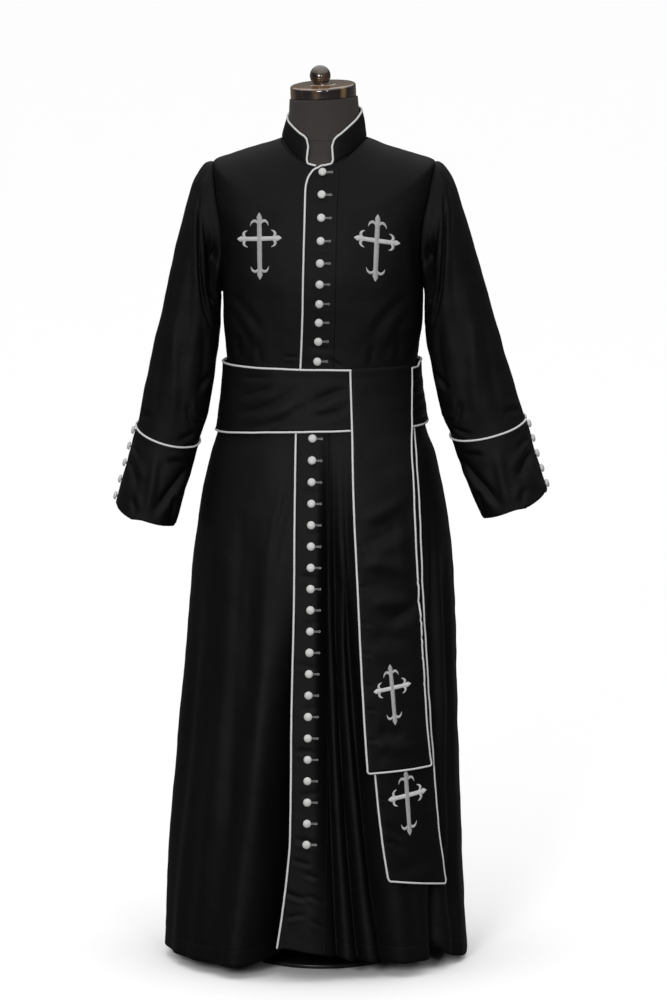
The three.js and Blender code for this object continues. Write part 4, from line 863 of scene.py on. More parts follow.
def pulled_in(gaps, sewn, tucked, stitched):
    """How far a shell is pulled in by its seams, its tucks and its lines of stitches."""
    dips = [(edge, 0, SEAM_DIP, SEAM_REACH) for edge in sewn.split()]
    dips += [(edge, 0, TUCK_DIP, TUCK_REACH) for edge in tucked.split()]
    dips += [(edge, distance, STITCH_DIP, STITCH_REACH) for edge, distance in stitched]
    return sum(
        depth * np.exp(-(((gaps[edge] - place) / reach) ** 2)) for edge, place, depth, reach in dips
    )


def shell(
    name, surface, across, down,
    wall=CLOTH, lift=0.0, closed=False, sewn="", tucked="", stitched=(), **step,
):
    """A thin wall of cloth over a grid of (across, down), whose outer face is the surface
    moved out by lift. sewn names the edges that a seam pulls in (top, bottom, left, right),
    tucked names those that lie under their neighbour, and stitched gives (edge, distance) of
    each line of topstitching. step is what lifted takes."""
    across, down = np.broadcast_arrays(across, down)
    points = surface(across, down)
    out = outward(surface, across, down, **step)
    along_u = run_lengths(points, 1)
    along_v = run_lengths(points, 0)
    gaps = {
        "left": along_u,
        "right": along_u[:, -1:] - along_u,
        "top": along_v,
        "bottom": along_v[-1:] - along_v,
    }
    dip = pulled_in(gaps, sewn, tucked, stitched)
    rounding = np.zeros(across.shape)
    rounding[[0, -1], :] = ROUNDING * wall
    if not closed:
        rounding[:, [0, -1]] = ROUNDING * wall
    outer = points + out * (lift - dip - rounding)[..., None]
    for edge, distance in stitched:
        stitch_lines.append(line_beside(outer, out, gaps[edge], edge, distance))
    inner = points + out * (lift - wall - dip + rounding)[..., None]
    uvs = np.stack([along_u - along_u[:, -1:] / 2, -along_v], axis=-1) * MM
    if closed:
        outer, inner, uvs = outer[:, :-1], inner[:, :-1], uvs[:, :-1]
    rows, columns = outer.shape[:2]
    size = rows * columns
    faces = [
        grid_faces(rows, columns, closed),
        grid_faces(rows, columns, closed, size, turned=True),
        *rim_faces(rows, columns, closed),
    ]
    both = np.concatenate([outer.reshape(-1, 3), inner.reshape(-1, 3)])
    both_uvs = np.tile(uvs.reshape(-1, 2), (2, 1))
    return make_mesh(name, both, np.concatenate(faces), both_uvs)


def rim_faces(rows, columns, closed):
    """Quads between the outer and the inner face, round the edges of the grid."""
    size = rows * columns
    grid = np.arange(size).reshape(rows, columns)
    top = np.append(grid[0], grid[0, 0]) if closed else grid[0]
    bottom = np.append(grid[-1], grid[-1, 0]) if closed else grid[-1]
    runs = [top[::-1], bottom]
    if not closed:
        runs += [grid[:, 0], grid[::-1, -1]]
    quads = []
    for run in runs:
        first, second = run[:-1], run[1:]
        quads.append(np.stack([first, first + size, second + size, second], axis=-1))
    return quads


PATH_STEPS = 8  # between two points of a path, before it is stepped evenly


def smooth_path(points, spacing):
    """A rounded path through points, with even steps."""
    points = np.asarray(points, float)
    ends = [2 * points[0] - points[1]], [2 * points[-1] - points[-2]]
    padded = np.concatenate([ends[0], points, ends[1]])
    gaps = np.sqrt(np.maximum(np.linalg.norm(np.diff(padded, axis=0), axis=1), 1e-6))
    knots = np.concatenate([[0], np.cumsum(gaps)])
    pieces = []
    for i in range(1, len(padded) - 2):
        t = np.linspace(knots[i], knots[i + 1], PATH_STEPS + 1)[:-1, None]
        k0, k1, k2, k3 = knots[i - 1 : i + 3]
        p0, p1, p2, p3 = padded[i - 1 : i + 3]
        a1 = lerp(p0, p1, (t - k0) / (k1 - k0))
        a2 = lerp(p1, p2, (t - k1) / (k2 - k1))
        a3 = lerp(p2, p3, (t - k2) / (k3 - k2))
        b1 = lerp(a1, a2, (t - k0) / (k2 - k0))
        b2 = lerp(a2, a3, (t - k1) / (k3 - k1))
        pieces.append(lerp(b1, b2, (t - k1) / (k2 - k1)))
    return resampled(np.concatenate([*pieces, points[-1:]]), spacing)


def resampled(points, spacing):
    """A path through even steps along another one."""
    lengths = run_lengths(points)
    places = np.linspace(0, lengths[-1], max(2, round(lengths[-1] / spacing)) + 1)
    return along_line(points, lengths, places)


NEARLY_UPRIGHT = 0.2  # sine of a path's angle to the upright


def frames_along(points):
    """Two directions across a path at each of its points, carried along with no twist."""
    ways = unit(np.gradient(points, axis=0))
    side = np.cross(ways[0], [0.0, 0.0, 1.0])
    if np.linalg.norm(side) < NEARLY_UPRIGHT:
        side = np.cross(ways[0], [0.0, 1.0, 0.0])
    sides = []
    for way in ways:
        side = side - way * side.dot(way)
        side = side / np.linalg.norm(side)
        sides.append(side)
    sides = np.array(sides)
    return sides, np.cross(ways, sides)


END_REACH = 0.5  # radii that a tube's rounded end reaches past its path
END_RADIUS = 0.55  # of its end face, in radii


def even_turns(count):
    """Even turns round a circle, in radians."""
    return np.linspace(0, 2 * math.pi, count, endpoint=False)


def tube_parts(points, radius, sides):
    """Points, faces and uvs of a tube along a path, with rounded ends."""
    points = np.asarray(points, float)
    reach = radius * END_REACH
    start = points[0] + unit(points[0] - points[1]) * reach
    end = points[-1] + unit(points[-1] - points[-2]) * reach
    points = np.concatenate([[start], points, [end]])
    radii = np.full(len(points), float(radius))
    radii[[0, -1]] = radius * END_RADIUS
    first, second = frames_along(points)
    turns = even_turns(sides)[:, None]
    ring = np.cos(turns) * first[:, None] + np.sin(turns) * second[:, None]
    surface = points[:, None] + ring * radii[:, None, None]
    count = len(points)
    v, u = np.meshgrid(run_lengths(points), turns[:, 0] * radius, indexing="ij")
    uvs = np.stack([u, v], axis=-1).reshape(-1, 2) * MM
    faces = grid_faces(count, sides, True, turned=True).tolist()
    faces.append(list(range(sides)))
    faces.append(list(range((count - 1) * sides, count * sides))[::-1])
    return surface.reshape(-1, 3), faces, uvs


PIPING_SIDES = 12
PIPING_SPACING = 3


def piping(name, path):
    return joined(f"piping_of_{name}", [tube_parts(path, PIPING_RADIUS, PIPING_SIDES)])


def joined(name, parts):
    """One mesh object from several (points, faces, uvs)."""
    points, faces, uvs, start = [], [], [], 0
    for part_points, part_faces, part_uvs in parts:
        points.append(part_points)
        uvs.append(part_uvs)
        faces.extend([[index + start for index in face] for face in part_faces])
        start += len(part_points)
    return make_mesh(name, np.concatenate(points), faces, np.concatenate(uvs))


def fanned_faces(rows, columns, upward):
    """Faces over closed rings that go up or down, and a fan from each end's ring to the points
    that follow the rings: the first ring's middle, and the last one's."""
    first_middle = rows * columns
    last = first_middle - columns
    fans = []
    for j in range(columns):
        k = (j + 1) % columns
        fans += [[first_middle, k, j], [first_middle + 1, last + j, last + k]]
    if not upward:
        fans = [fan[::-1] for fan in fans]
    return grid_faces(rows, columns, True, turned=upward).tolist() + fans


def lathe_parts(profile, sides):
    """A closed solid of revolution round +Z from (radius, height) points, from its foot up.
    The first and the last point are on the axis."""
    profile = np.asarray(profile, float)
    inner = profile[1:-1]
    turns = even_turns(sides)
    x = inner[:, :1] * np.cos(turns)
    y = inner[:, :1] * np.sin(turns)
    z = np.broadcast_to(inner[:, 1:], x.shape)
    ends = [[0, 0, profile[0, 1]], [0, 0, profile[-1, 1]]]
    points = np.concatenate([np.stack([x, y, z], axis=-1).reshape(-1, 3), ends])
    v, u = np.meshgrid(run_lengths(inner), turns * inner[:, 0].max(), indexing="ij")
    uvs = np.stack([u, v], axis=-1).reshape(-1, 2)
    uvs = np.concatenate([uvs, [[0, 0], [0, v[-1, 0]]]]) * MM
    return points, fanned_faces(*x.shape, upward=True), uvs


def aimed(points, place, way, spin=0.0):
    """Points made round +Z, turned so that +Z goes the given way, and moved to a place."""
    way = unit(np.asarray(way, float))
    side = unit(np.cross([0.0, 0.0, 1.0], way))
    up = np.cross(way, side)
    first = side * math.cos(spin) + up * math.sin(spin)
    second = np.cross(way, first)
    return points[:, :1] * first + points[:, 1:2] * second + points[:, 2:] * way + place


def lofted_parts(rings):
    """A closed solid through rings of points, from the top down, with a fan at each end."""
    ends = [rings[0].mean(axis=0), rings[-1].mean(axis=0)]
    points = np.concatenate([rings.reshape(-1, 3), ends])
    lengths = np.stack([run_lengths(rings, 1), run_lengths(rings)], axis=-1)
    uvs = np.concatenate([lengths.reshape(-1, 2), np.zeros((2, 2))]) * MM
    return points, fanned_faces(*rings.shape[:2], upward=False), uvs


# ---------- thread ----------

THREAD_RING = [(1.0, 0.0), (0.0, 1.0), (-1.0, 0.0), (0.0, -1.0)]
THREAD_END = 0.08  # square of its end's radius, against its middle's


def thread_parts(paths, outs, radius):
    """Many short lengths of thread, each through a few points, thinner at its ends."""
    count, places = paths.shape[:2]
    ways = unit(np.gradient(paths, axis=1))
    sides = unit(np.cross(ways, outs))
    ups = np.cross(sides, ways)
    taper = np.linspace(-1, 1, places)
    radii = radius * np.sqrt(1 + THREAD_END - taper**2)[None, :, None]
    rings = [paths + (sides * across + ups * up) * radii for across, up in THREAD_RING]
    points = np.stack(rings, axis=2)
    size = places * len(THREAD_RING)
    body = grid_faces(places, len(THREAD_RING), True, turned=True)
    caps = np.array([[0, 1, 2, 3], [size - 1, size - 2, size - 3, size - 4]])
    one = np.concatenate([body, caps])
    faces = (one[None] + (np.arange(count) * size)[:, None, None]).reshape(-1, 4)
    along = np.linspace(0, 1, places)[None, :, None]
    u = np.broadcast_to(along * 10, (count, places, len(THREAD_RING)))
    v = np.broadcast_to(np.arange(count)[:, None, None] * 2 * radius, u.shape)
    uvs = np.stack([u, v], axis=-1).reshape(-1, 2) * MM
    return points.reshape(-1, 3), faces.tolist(), uvs


STITCH_LENGTH = 2.3
STITCH_PITCH = 3.1
STITCH_RADIUS = 0.22
STITCH_LIFT = 0.12  # of a stitch's middle, out of the cloth
STITCH_SINK = 0.16  # of its ends, into the cloth


def topstitching():
    """Every line of stitches that shows, as one piece."""
    starts, ends, outs = [], [], []
    for line, ways in stitch_lines:
        lengths = run_lengths(line)
        places = np.arange(STITCH_PITCH, lengths[-1] - STITCH_PITCH, STITCH_PITCH)
        starts.append(along_line(line, lengths, places))
        ends.append(along_line(line, lengths, places + STITCH_LENGTH))
        outs.append(along_line(ways, lengths, places))
    starts, ends = np.concatenate(starts), np.concatenate(ends)
    outs = unit(np.concatenate(outs))
    middle = (starts + ends) / 2 + outs * STITCH_LIFT
    paths = np.stack([starts - outs * STITCH_SINK, middle, ends - outs * STITCH_SINK], axis=1)
    return joined("topstitching", [thread_parts(paths, outs[:, None], STITCH_RADIUS)])


# ---------- bodice ----------

SEAM_ANGLE = math.degrees(SEAM_GAP / 2 / 125)  # half a seam's gap, at the narrowest radius
ARMHOLE_EASE = 0.4  # between a sleeve and the edge of its armhole
DEEPEST_IN_TORSO = 3.8  # row of a sleeve that is out of the torso all round
FRONT_COLUMNS = steps(260, 4)
BACK_COLUMNS = steps(500, 5)
LAST_ROW_HEIGHT = TORSO["z_side"][-2] - WAIST_SEAM
HOLE_ROWS = np.array([-0.05, -0.012, 0.002, 0.012, 0.04])  # beside an armhole's top and foot
LEAST_STEP = 0.004  # between two rows


def torso_place(points):
    """The torso's (angle, row) level with each point, and its share of the way out."""
    x, y, z = np.moveaxis(points, -1, 0)

    def above(row):
        section = torso_section(row)
        return on_section(section, section_angle(section, x, y)[0])[..., 2] > z

    row = last_place(above, x.shape, WAIST_ROW)
    angle, share = section_angle(torso_section(row), x, y)
    return angle, row, share


def section_angle(section, x, y):
    """The angle of a place in a section's plane, and how far out it is: 1 on the section."""
    half_power = section["square"] / 2
    width = np.where(x < 0, section["left"], section["right"])
    depth = np.where(y < 0, section["front"], section["back"])
    sine = np.sign(x) * (np.abs(x) / width) ** half_power
    cosine = -np.sign(y) * (np.abs(y) / depth) ** half_power
    return np.degrees(np.arctan2(sine, cosine)), np.hypot(sine, cosine)


def armhole(rows, ease):
    """Where a sleeve's tube meets the torso, by angle round the sleeve: the sleeve's row, and
    the torso's angle and row."""
    surface = lifted(arm_base(rows), ease)
    turns = np.linspace(0, 360, 361)
    sleeve_row = last_place(
        lambda row: torso_place(surface(turns, row))[2] < 1, turns.shape, DEEPEST_IN_TORSO
    )
    angle, row, _ = torso_place(surface(turns, sleeve_row))
    return {"turn": turns, "sleeve_row": sleeve_row, "angle": angle, "row": row}


HOLES = {name: armhole(rows, ARMHOLE_EASE) for name, rows in (("right", RIGHT_ARM), ("left", LEFT_ARM))}


def panel_edge(side, front):
    """The front or back panel's edge on one side: round the armhole, and along the shoulder
    seam and the side seam above and below it. The torso's angle by row."""
    angle, row = HOLES[side]["angle"][:-1], HOLES[side]["row"][:-1]
    count = len(row)
    top, bottom = np.argmin(row), np.argmax(row)
    runs = [
        (top + np.arange((bottom - top) % count + 1)) % count,
        (top - np.arange((top - bottom) % count + 1)) % count,
    ]
    runs.sort(key=lambda run: np.abs(angle[run]).mean())
    run = runs[0] if front else runs[1]
    falling = np.maximum.accumulate(row[run])
    half_gap = math.copysign(SEAM_ANGLE, -angle[top] if front else angle[top])

    def edge(at):
        to_waist = smooth_rise(at, row[bottom], WAIST_ROW)
        below = lerp(angle[bottom], math.copysign(90, angle[top]), to_waist)
        seam = np.where(at < row[top], angle[top], below) + half_gap
        return np.where((at > row[top]) & (at < row[bottom]), np.interp(at, falling, angle[run]), seam)

    return edge


def bodice_rows():
    """Rows about 4 mm apart, and closer together at the armholes' ends."""
    rows = steps(470, 4) * (WAIST_ROW - SEAM_GAP / 2 / LAST_ROW_HEIGHT)
    ends = np.array([[hole["row"].min(), hole["row"].max()] for hole in HOLES.values()])
    rows = np.unique(np.clip(np.append(rows, ends[..., None] + HOLE_ROWS), 0, WAIST_ROW))
    return rows[np.append(True, np.diff(rows) > LEAST_STEP)][:, None]


def bodice():
    rows = bodice_rows()
    right_edge = panel_edge("right", front=True)(rows)
    left_edge = panel_edge("left", front=True)(rows)
    back_left = panel_edge("left", front=False)(rows)
    back_right = panel_edge("right", front=False)(rows) + 360
    spans = {
        "bodice_front_right": (right_edge, -SEAM_ANGLE, FRONT_COLUMNS, "top left"),
        "bodice_front_left": (SEAM_ANGLE, left_edge, FRONT_COLUMNS, "top right"),
        "bodice_back": (back_left, back_right, BACK_COLUMNS, "top left right"),
    }
    return [
        shell(f"cloth_{name}", torso, lerp(start, end, columns), rows, sewn=sewn)
        for name, (start, end, columns, sewn) in spans.items()
    ]


# ---------- sleeves and cuffs ----------

SLEEVE_TUCK = 0.035  # rows that a sleeve's head is turned in under the armhole's edge
SLEEVE_COLUMNS = np.linspace(0, 360, 109)
ARMS = {"right": RIGHT_ARM, "left": LEFT_ARM}
CUFF_HEM_WAVES = table("angle z", [
    ("outer side", 0, 0),
    ("front, outer", 50, -3),
    ("front", 90, 5),
    ("front, inner", 135, 3),
    ("inner side", 180, -2),
    ("back, inner", 240, 3),
    ("back", 290, -3),
    ("outer side again", 360, 0),
])


def sleeve(side):
    rows = ARMS[side]
    surface = lifted(arm_base(rows), arm_relief(rows, SLEEVE_CREASES, 0.7, 46))
    seam = armhole(rows, 0)
    starts = np.interp(SLEEVE_COLUMNS, seam["turn"], seam["sleeve_row"]) - SLEEVE_TUCK
    down = lerp(starts, CUFF_TOP + SLEEVE_UNDER_CUFF, steps(560, 4.8)[:, None])
    return shell(f"cloth_sleeve_{side}", surface, SLEEVE_COLUMNS, down, closed=True, sewn="top")


def cuff_surface(side):
    return lifted(arm_base(ARMS[side]), arm_relief(ARMS[side], CUFF_CREASES, 0.6, 34))


def cuff(side):
    wave = smooth_through(*CUFF_HEM_WAVES.values())
    turn = -SLEEVE_COLUMNS * arm_side(ARMS[side])
    end = CUFF_END - wave(turn % 360) / ARM_PER_ROW
    down = lerp(CUFF_TOP, end, steps(150, 3.6)[:, None])
    return shell(
        f"cloth_cuff_{side}", cuff_surface(side), SLEEVE_COLUMNS, down,
        lift=CUFF_LIFT + CLOTH, closed=True,
    )


def cuff_piping(side):
    """Round the cuff's top edge, from one side of its outer line to the other."""
    edge = lifted(cuff_surface(side), PIPING_RADIUS + CUFF_LIFT + SEAM_GAP)
    turns = np.linspace(3, 357, 120) * arm_side(ARMS[side])
    points = edge(turns, np.full(turns.shape, float(CUFF_TOP)))
    along = unit(edge(turns, np.full(turns.shape, CUFF_TOP + 0.05)) - points)
    return piping(f"cuff_{side}", resampled(points - along * PIPING_CLEAR, PIPING_SPACING))


# ---------- skirt ----------

PANEL_SEAMS = [-90, 0, 90, 270]
ways_top = np.concatenate([FOLDS["top"], PANEL_SEAMS])
ways_hem = np.concatenate([FOLDS["hem"], PANEL_SEAMS])
fold_way = table_curve({"hem": ways_hem, "top": ways_top}, "hem")
TUCK_ANGLE = 0.9  # how far the back panel runs on under the front ones
SKIRT_PANELS = {  # angles of its edges at the hem, width, and how the edges are held
    "skirt_front_right": (-90 + SEAM_ANGLE, -SEAM_ANGLE, 500, {"sewn": "left"}),
    "skirt_front_left": (SEAM_ANGLE, 90 - SEAM_ANGLE, 480, {"sewn": "right"}),
    "skirt_back": (90 - TUCK_ANGLE, 270 + TUCK_ANGLE, 1000, {"tucked": "left right"}),
}
SKIRT_LENGTH = 1090
HEM_DEPTH = 30  # of the turned-up hem
FOLD_BOTTOM = np.array([-0.3, 0, 0.3])  # degrees, of the columns that keep a fold's bottom sharp
ABOUT_STITCHES = np.array([-3, -1.5, 0, 1.5, 3])  # heights beside the hem's stitches, of extra rows


def skirt_column(hem_angle, row):
    """The skirt by angle at the hem: each column follows the folds up to the waist seam."""
    return skirt(lerp(fold_way(hem_angle)["top"], hem_angle, row**FOLD_BEND), row)


def skirt_panels():
    about_stitches = 1 - (HEM_DEPTH + ABOUT_STITCHES) / SKIRT_LENGTH
    down = np.maximum(steps(SKIRT_LENGTH, 7.6), SEAM_GAP / 2 / SKIRT_LENGTH)
    down = np.sort(np.concatenate([down, about_stitches]))[:, None]
    bottoms = FOLDS["hem"][FOLDS["depth"] < 0]
    columns = (bottoms[:, None] + FOLD_BOTTOM).ravel()
    columns = np.where(columns < PANEL_SEAMS[0] - 1, columns + 360, columns)
    pieces = []
    for name, (start, end, width, seams) in SKIRT_PANELS.items():
        across = lerp(start, end, steps(width, 6.4))
        across = np.union1d(across, columns[(columns > start + 1) & (columns < end - 1)])
        piece = shell(
            f"cloth_{name}", skirt_column, across, down,
            **seams, stitched=[("bottom", HEM_DEPTH)], step_down=0.0012,
        )
        pieces.append(piece)
    return pieces


# ---------- placket and collar ----------


FOLD_SHOWS_FROM = 0.62  # of the placket's width


def placket_base(across, row):
    edges = placket_edges(row_height(row))
    return robe_row_base(lerp(edges["edge"], edges["stitch"], across), row)


def placket_relief(across, down, point):
    """The front's creases, and towards the stitched edge the fold beside it."""
    x, z = point[..., 0], point[..., 2]
    fold = fold_depth(angle_at_x(skirt_section(z), x), z)
    return front_relief(x, z) + fold * smooth_rise(across, FOLD_SHOWS_FROM, 1)


PLACKET_STEP = {"step_across": 0.02, "step_down": 0.002}
placket_surface = lifted(placket_base, placket_relief, **PLACKET_STEP)
PLACKET_TOP = 0.3  # row
TO_HEM = WAIST_ROW + 1
TOP_RIM = 0.015  # rows of the placket's narrow strips at its two ends
HEM_RIM = 0.0005
PLACKET_STITCHES = 2.4  # from its edge


def placket():
    upper = np.linspace(PLACKET_TOP, WAIST_ROW, 100)[:-1]
    lower = np.linspace(WAIST_ROW, TO_HEM, 260)[:-1]
    rims = [PLACKET_TOP + TOP_RIM, TO_HEM - HEM_RIM, TO_HEM]
    down = np.sort(np.concatenate([upper, lower, rims]))
    return shell(
        "cloth_placket", placket_surface, steps(60, 3.2), down[:, None],
        wall=PLACKET_WALL, lift=LAY_GAP + PLACKET_WALL,
        stitched=[("right", PLACKET_STITCHES)], **PLACKET_STEP,
    )


def rings_of(sections, angle):
    """The rings at each row of a table of sections."""
    rows = range(len(sections["left"]))
    return [on_section({key: values[i] for key, values in sections.items()}, angle) for i in rows]


def collar_base(angle, down):
    foot = rings_of(TORSO, angle)[0] + np.array([0, 0, COLLAR_RISE])
    head = on_section({**COLLAR_TOP, "z": collar_edge(angle)}, angle)
    return foot + (head - foot) * (1 - np.asarray(down))[..., None]


COLLAR_PER_DEGREE = 1.3  # millimetres round the collar
COLLAR_BELLY = 0.9


def collar_relief(angle, down, point):
    """A little swelling between its foot and its top edge."""
    round_neck = angle * COLLAR_PER_DEGREE
    return unevenness(round_neck, point[..., 2], 0.5, 36) + COLLAR_BELLY * np.sin(math.pi * down)


collar_surface = lifted(collar_base, collar_relief)
COLLAR_CORNER = np.array([0, 0.4, 1, 1.7, 2.5, 3.7, 5, 7, 9, 12, 15, 19, 24]) + COLLAR_OPENING
COLLAR_ANGLES = np.concatenate([COLLAR_CORNER, np.linspace(47, 313, 118), 360 - COLLAR_CORNER[::-1]])


def collar():
    return shell(
        "cloth_collar", collar_surface, COLLAR_ANGLES, steps(52, 2.8)[:, None],
        wall=LINED_CLOTH, sewn="bottom",
    )


# ---------- the long run of piping ----------

COLLAR_END_DOWNS = np.array([0.04, 0.2, 0.4, 0.6, 0.8])  # the piping's points on the collar's ends
NECKLINE_RIGHT = [-5, -9, -13, -16.5]  # angles of the piping's points along the neckline
NECKLINE_LEFT = [16.5, 13, 9, 6.5]
NECKLINE_CLIMB = 3.5  # where it climbs to cross its own start and the placket
PIPING_CROSSING = (-0.5, 1494.5)  # x and height at the pit of the neck
PIPING_SHORT_OF_HEM = 0.004  # rows
FRONT_PIPING_SPACING = 2.6


def turned_left(ways):
    """Ways in a plane, turned by a right angle."""
    return np.stack([-ways[..., 1], ways[..., 0]], axis=-1)


def beside_edge(points, outs, distance):
    """Points beside the edge of a sheet, on the left of the edge's way, seen from outside."""
    ways = unit(np.gradient(points, axis=0))
    return points + unit(np.cross(ways, outs)) * distance


def above_neckline(angle, lift=0.0):
    """Where the piping's centre runs beside the neckline's edge."""
    neckline = lifted(torso, lift)
    point = neckline(np.float64(angle), np.float64(0))
    way = unit(neckline(np.float64(angle), np.float64(0.1)) - point)
    return point - way * PIPING_CLEAR


def collar_piping_points():
    """Up the collar's right end, round its top edge and down its left end."""
    count = len(COLLAR_END_DOWNS)
    ends = np.repeat([COLLAR_ANGLES[-1], COLLAR_ANGLES[0]], count)
    angles = np.concatenate([ends[:count], COLLAR_ANGLES[-2:0:-1], ends[count:]])
    level = np.zeros(len(COLLAR_ANGLES) - 2)
    downs = np.concatenate([COLLAR_END_DOWNS[::-1], level, COLLAR_END_DOWNS])
    edge = lifted(collar_surface, -LINED_CLOTH / 2)(angles, downs)
    return beside_edge(edge, outward(collar_surface, angles, downs), PIPING_CLEAR)


def placket_piping_points(lift):
    """Down the placket's edge, nearly to the hem."""
    upper = np.linspace(PLACKET_TOP, WAIST_ROW, 60)
    lower = np.linspace(WAIST_ROW, TO_HEM - PIPING_SHORT_OF_HEM, 90)[1:]
    rows = np.concatenate([upper, lower])
    edge = lifted(placket_surface, lift, **PLACKET_STEP)(np.zeros(rows.shape), rows)
    return beside_edge(edge, front_out(edge[:, 0], edge[:, 2]), PIPING_CLEAR)


def front_piping():
    """From the pit of the neck along the neckline, up the collar's edge on the wearer's right,
    round the back, down the other edge, back along the neckline and down to the hem."""
    lift = LAY_GAP + PIPING_RADIUS
    start = [above_neckline(angle) for angle in NECKLINE_RIGHT]
    back = [above_neckline(angle) for angle in NECKLINE_LEFT]
    back.append(above_neckline(NECKLINE_CLIMB, lift))
    crossing = [on_front(*PIPING_CROSSING, lift)]
    runs = [start, collar_piping_points(), back, crossing, placket_piping_points(lift)]
    return piping("neck_and_front", smooth_path(np.concatenate(runs), FRONT_PIPING_SPACING))


# ---------- buttons and buttonholes ----------

UPPER_BUTTONS = {"count": 10, "top": 1485.5, "bottom": 1141, "crowding": -10}
LOWER_BUTTONS = {"count": 20, "top": 999, "bottom": 259, "crowding": 2}
BUTTON_PROFILE = [
    (0, 0), (0.78, 0), (0.9, 0.05), (0.985, 0.2), (1, 0.36), (0.97, 0.52), (0.88, 0.7),
    (0.72, 0.84), (0.5, 0.94), (0.25, 0.99), (0, 1),
]  # radius and height, as shares of the button's
BUTTONHOLE = {"slit": 11.5, "eye": 1.7, "half": 0.95, "start": 4.0}  # from the button's centre
STITCH_BAND = 1.5  # width of a buttonhole's stitching


BUTTON_ASKEW = 0.045  # spread of the buttons' ways out
BUTTON_VARIATION = 0.015  # of their radii
BUTTON_LIFT = 0.25  # of its foot, out of the placket
BUTTON_SIDES = 32
KEYHOLE_SPACING = 0.62
KEYHOLE_THREAD = 0.3  # radius
KEYHOLE_RISE = (0.2, 0.3)  # of a stitch's ends out of the placket, and of its middle beyond them


def button_heights(count, top, bottom, crowding):
    share = np.linspace(0, 1, count)
    return lerp(top, bottom, share) + crowding * np.sin(math.pi * share) ** 2


BUTTON_Z = np.concatenate([button_heights(**UPPER_BUTTONS), button_heights(**LOWER_BUTTONS)])
BUTTON_X = np.minimum(placket_edges(BUTTON_Z)["edge"] + BUTTON_IN_FROM_EDGE, BUTTON_LINE)


def button_parts(place, way, spin, radius=BUTTON_RADIUS, height=BUTTON_HEIGHT):
    profile = [(r * radius, h * height) for r, h in BUTTON_PROFILE]
    points, faces, uvs = lathe_parts(profile, BUTTON_SIDES)
    return aimed(points, place, way, spin), faces, uvs


def front_buttons():
    """Thirty covered buttons, each sewn on a little askew."""
    rng = np.random.default_rng(7)
    places = on_front(BUTTON_X, BUTTON_Z, LAY_GAP + PLACKET_WALL + BUTTON_LIFT)
    outs = front_out(BUTTON_X, BUTTON_Z)
    buttons = []
    for i, (place, out) in enumerate(zip(places, outs)):
        askew = out + rng.normal(0, BUTTON_ASKEW, 3)
        radius = BUTTON_RADIUS * (1 + rng.normal(0, BUTTON_VARIATION))
        parts = button_parts(place, askew, rng.uniform(0, 6), radius)
        buttons.append(joined(f"covered_button_{i + 1:02d}", [parts]))
    return buttons


def keyhole_outline():
    """Half of it is the slit's upper side; then round the eye and back along the lower side."""
    slit, eye, half, start = (BUTTONHOLE[key] for key in ("slit", "eye", "half", "start"))
    opening = math.asin(half / eye)
    centre = start + slit + eye * math.cos(opening)
    upper = [(u, half) for u in np.linspace(start, start + slit, 12)]
    turns = np.linspace(math.pi - opening, opening - math.pi, 16)
    round_eye = [(centre + eye * math.cos(turn), eye * math.sin(turn)) for turn in turns]
    lower = [(u, -half) for u in np.linspace(start + slit, start, 12)]
    return np.array(upper + round_eye[1:-1] + lower)


def buttonholes():
    """A keyhole in light thread on the far side of each button."""
    outline = keyhole_outline()
    padded = np.concatenate([outline, np.zeros((len(outline), 1))], axis=1)
    line = resampled(padded, KEYHOLE_SPACING)[:, :2]
    asides = turned_left(unit(np.gradient(line, axis=0)))
    share = np.linspace(-0.5, 0.5, 3)
    local = line[:, None] + asides[:, None] * share[None, :, None] * STITCH_BAND
    x = BUTTON_X[:, None, None] + local[None, ..., 0]
    z = BUTTON_Z[:, None, None] + local[None, ..., 1] * np.ones_like(x)
    rise = KEYHOLE_RISE[0] + KEYHOLE_RISE[1] * (1 - (2 * share) ** 2)
    lift = LAY_GAP + PLACKET_WALL + np.broadcast_to(rise, x.shape)
    paths = on_front(x, z, lift).reshape(-1, 3, 3)
    outs = front_out(x, z).reshape(-1, 3, 3)
    return joined("buttonholes", [thread_parts(paths, outs, KEYHOLE_THREAD)])


CUFF_BUTTONS = (0.14, 1.84, 5)  # rows from the cuff's top to the first and the last, and count
SHANK_SHOWS = 0.8  # between the cuff and a button
SHANK_HEIGHTS = (-1.6, -0.6, 0.3)  # from the button's foot
SHANK_RADIUS = 2.6


def cuff_buttons(side):
    """Five buttons up the cuff's outer edge."""
    surface = lifted(arm_base(ARMS[side]), CUFF_LIFT + CLOTH + LAY_GAP + SHANK_SHOWS)
    downs = CUFF_TOP + np.linspace(*CUFF_BUTTONS)
    angles = np.zeros(downs.shape)
    places = surface(angles, downs)
    outs = outward(surface, angles, downs)
    buttons = [button_parts(place, out, i) for i, (place, out) in enumerate(zip(places, outs))]
    shanks = [shank(place, out) for place, out in zip(places, outs)]
    return joined(f"covered_cuff_buttons_{side}", buttons + shanks)


def shank(place, out):
    """The button's own short shank of cloth, down to the cuff."""
    points = place + out * np.array(SHANK_HEIGHTS)[:, None]
    return tube_parts(points, SHANK_RADIUS, 12)


# ---------- band cincture ----------

BAND_HALF_GAP = math.degrees(BAND_END_GAP / 2 / BAND_RADIUS)
BAND_FROM = BAND_END_ANGLE + BAND_HALF_GAP
BAND_TO = BAND_END_ANGLE + 360 - BAND_HALF_GAP
BAND_BELLY = 0.8  # how far its middle stands out


def band_base(angle, down):
    edges = band_edges(wrapped(angle))
    return waist_surface(angle, lerp(edges["top"], edges["bottom"], down))


